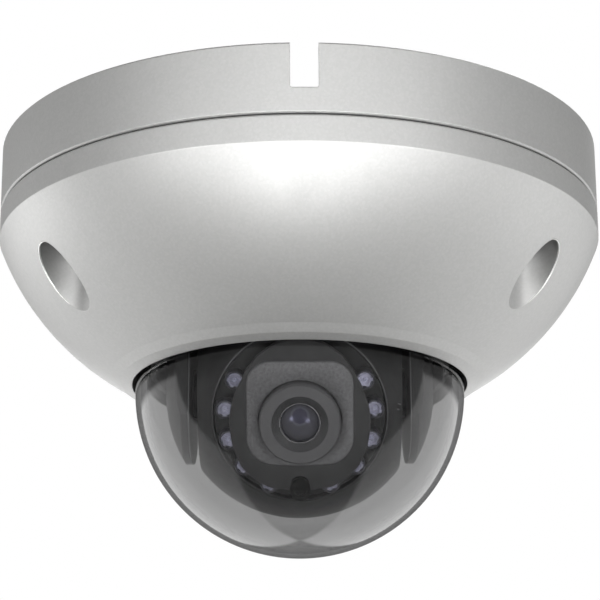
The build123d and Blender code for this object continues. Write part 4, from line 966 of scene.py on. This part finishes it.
def addPanels():
    # broad panels for the body, kept off the dark glass, and small ones for the ball and the lens alone
    body, seam, ball, lens = (0, 0, -0.02), (0, 0, -0.03), (0, 0, -0.045), (0, -0.02, -0.055)
    notGlass = ((bubblePiece, frontGlass, nodes["lens_elements"]), "EXCLUDE")
    shells = (nodes["ball_front_shell"], nodes["ball_rear_shell"], nodes["yoke"], facePiece)
    innerOnly = (shells, "INCLUDE")
    lensOnly = ((frontGlass,), "INCLUDE")
    panels = (  # name, place, aimed at, width, height, watts, linked pieces, how they are linked
        ("frontLowPanel", (0, -0.9, -0.45), body, 0.5, 0.4, 8.2, *notGlass),
        ("frontHighPanel", (0, -1.15, 0.35), body, 0.6, 0.4, 3.0, *notGlass),
        ("leftFrontPanel", (-0.7, -1.0, -0.15), body, 0.4, 0.4, 7.4, *notGlass),
        ("rightFrontPanel", (0.7, -1.0, -0.15), body, 0.4, 0.4, 9.0, *notGlass),
        ("rightPanel", (1.2, 0, -0.2), seam, 0.8, 0.6, 2.0, *notGlass),
        ("backPanel", (0, 1.2, -0.1), seam, 0.8, 0.6, 3.5, *notGlass),
        ("leftPanel", (-1.3, 0.5, -0.1), seam, 0.6, 0.6, 3.5, *notGlass),
        ("topBackPanel", (0.2, 1.1, 0.9), seam, 0.8, 0.8, 12.0, *notGlass),
        ("rightInnerPanel", (0.9, -0.35, -0.12), ball, 0.4, 0.3, 7.0, *innerOnly),
        ("leftInnerPanel", (-0.9, -0.35, -0.12), ball, 0.4, 0.3, 2.0, *innerOnly),
        ("leftSpark", (-0.404, -0.646, -0.344), lens, 0.14, 0.14, 2.0, *lensOnly),
        ("rightSpark", (0.38, -0.61, -0.44), lens, 0.14, 0.14, 2.0, *lensOnly),
    )
    for panel in panels:
        addPanel(*panel)


def addFloor():  # matt white board, which the glossy paint doesn't mirror
    floor = {"drop": -0.5, "half": 2.5, "tone": "D6D6D4", "rough": 0.8}
    surface = {"Base Color": hexColour(floor["tone"]), "Roughness": floor["rough"]}
    material, tree, shader, _ = startMaterial("paleFloor", surface)
    clearForRay(tree, shader, "Is Glossy Ray", (1, 1, 1, 1))
    half = floor["half"]
    corners = [(x * half, y * half, floor["drop"]) for x, y in ((-1, -1), (1, -1), (1, 1), (-1, 1))]
    mesh = bpy.data.meshes.new("studioFloor")
    mesh.from_pydata(corners, [], [(0, 1, 2, 3)])
    plane = linkPiece("studioFloor", mesh, material)


def lightWorld():
    # two white sweeps behind the object that nearly meet low at the back, and a dim room beside the lens
    cove = {
        "back": (0, 0.9527, 0.3038), "lean": 0.33, "soft": 0.03, "dim": 0.02, "fill": 0.15, "sweep": 0.88,
        "backGain": 0.75, "top": 0.175, "inside": 0.35, "tongue": (-0.72, 0.373), "bay": (0.56, -0.265),
        "hollow": 0.16, "hollowFrom": 0.81, "hollowTo": 0.85,
    }
    world = bpy.data.worlds.new("studioWorld")
    bpy.context.scene.world = world
    world.use_nodes = True
    tree = world.node_tree
    tree.nodes.clear()
    way = addNode(tree, "ShaderNodeTexCoord").outputs["Generated"]
    split = addNode(tree, "ShaderNodeSeparateXYZ", {}, {"Vector": way})
    leaning = {"operation": "MULTIPLY_ADD", 1: -cove["lean"]}
    behind = addNode(tree, "ShaderNodeMath", leaning, {0: split.outputs["Z"], 2: split.outputs["Y"]})
    towards = {"operation": "DOT_PRODUCT", 1: cove["back"]}
    depth = addNode(tree, "ShaderNodeVectorMath", towards, {0: way}).outputs["Value"]
    side = addNode(tree, "ShaderNodeMath", {"operation": "ABSOLUTE"}, {0: split.outputs["X"]})
    tongue, bay = (
        addNode(tree, "ShaderNodeMath", {"operation": "MULTIPLY_ADD", 1: slope, 2: start}, {0: depth})
        for slope, start in (cove["tongue"], cove["bay"])
    )
    gap = addNode(tree, "ShaderNodeMath", {"operation": "MAXIMUM"}, {0: tongue, 1: bay})
    beside = addNode(tree, "ShaderNodeMath", {"operation": "SUBTRACT"}, {0: side, 1: gap})
    lit = addNode(tree, "ShaderNodeMath", {"operation": "MINIMUM"}, {0: behind, 1: beside})
    ceiling = {"operation": "MULTIPLY_ADD", 1: -1.0, 2: cove["top"]}
    under = addNode(tree, "ShaderNodeMath", ceiling, {0: split.outputs["Z"]})
    both = addNode(tree, "ShaderNodeMath", {"operation": "MINIMUM"}, {0: lit, 1: under})
    growing = {"operation": "MULTIPLY_ADD", 1: cove["backGain"], 2: cove["sweep"]}
    gain = addNode(tree, "ShaderNodeMath", growing, {0: depth})
    sweep = addNode(tree, "ShaderNodeMapRange", {
        "From Min": -cove["soft"], "From Max": cove["soft"],
        "To Min": cove["dim"], "interpolation_type": "SMOOTHSTEP",
    }, {"Value": both, "To Max": gain})
    hollow = addNode(tree, "ShaderNodeMapRange", {
        "From Min": cove["hollowFrom"], "From Max": cove["hollowTo"],
        "To Max": cove["hollow"], "interpolation_type": "SMOOTHSTEP",
    }, {"Value": depth, "To Min": sweep})
    path = addNode(tree, "ShaderNodeLightPath")
    straight = {0: path.outputs["Is Camera Ray"], 1: path.outputs["Is Transmission Ray"]}
    seen = addNode(tree, "ShaderNodeMath", {"operation": "MAXIMUM"}, straight)
    dimming = {"To Min": 1.0, "To Max": cove["inside"]}  # under the dome it is dimmer
    strength = addNode(tree, "ShaderNodeMapRange", dimming, {"Value": path.outputs["Diffuse Depth"]})
    white = {"Color": (1, 1, 1, 1)}
    fill = addNode(tree, "ShaderNodeBackground", white | {"Strength": cove["fill"]})
    shine = addNode(tree, "ShaderNodeBackground", white, {"Strength": hollow})
    backdrop = addNode(tree, "ShaderNodeBackground", white, {"Strength": strength})
    glossy = addNode(tree, "ShaderNodeMixShader", {}, {0: path.outputs["Is Glossy Ray"], 1: fill, 2: shine})
    mix = addNode(tree, "ShaderNodeMixShader", {}, {0: seen, 1: glossy, 2: backdrop})
    out = addNode(tree, "ShaderNodeOutputWorld")
    tree.links.new(mix.outputs[0], out.inputs["Surface"])


addCamera()
addFloor()
lightWorld()
addPanels()
print("camera, floor and lights done")
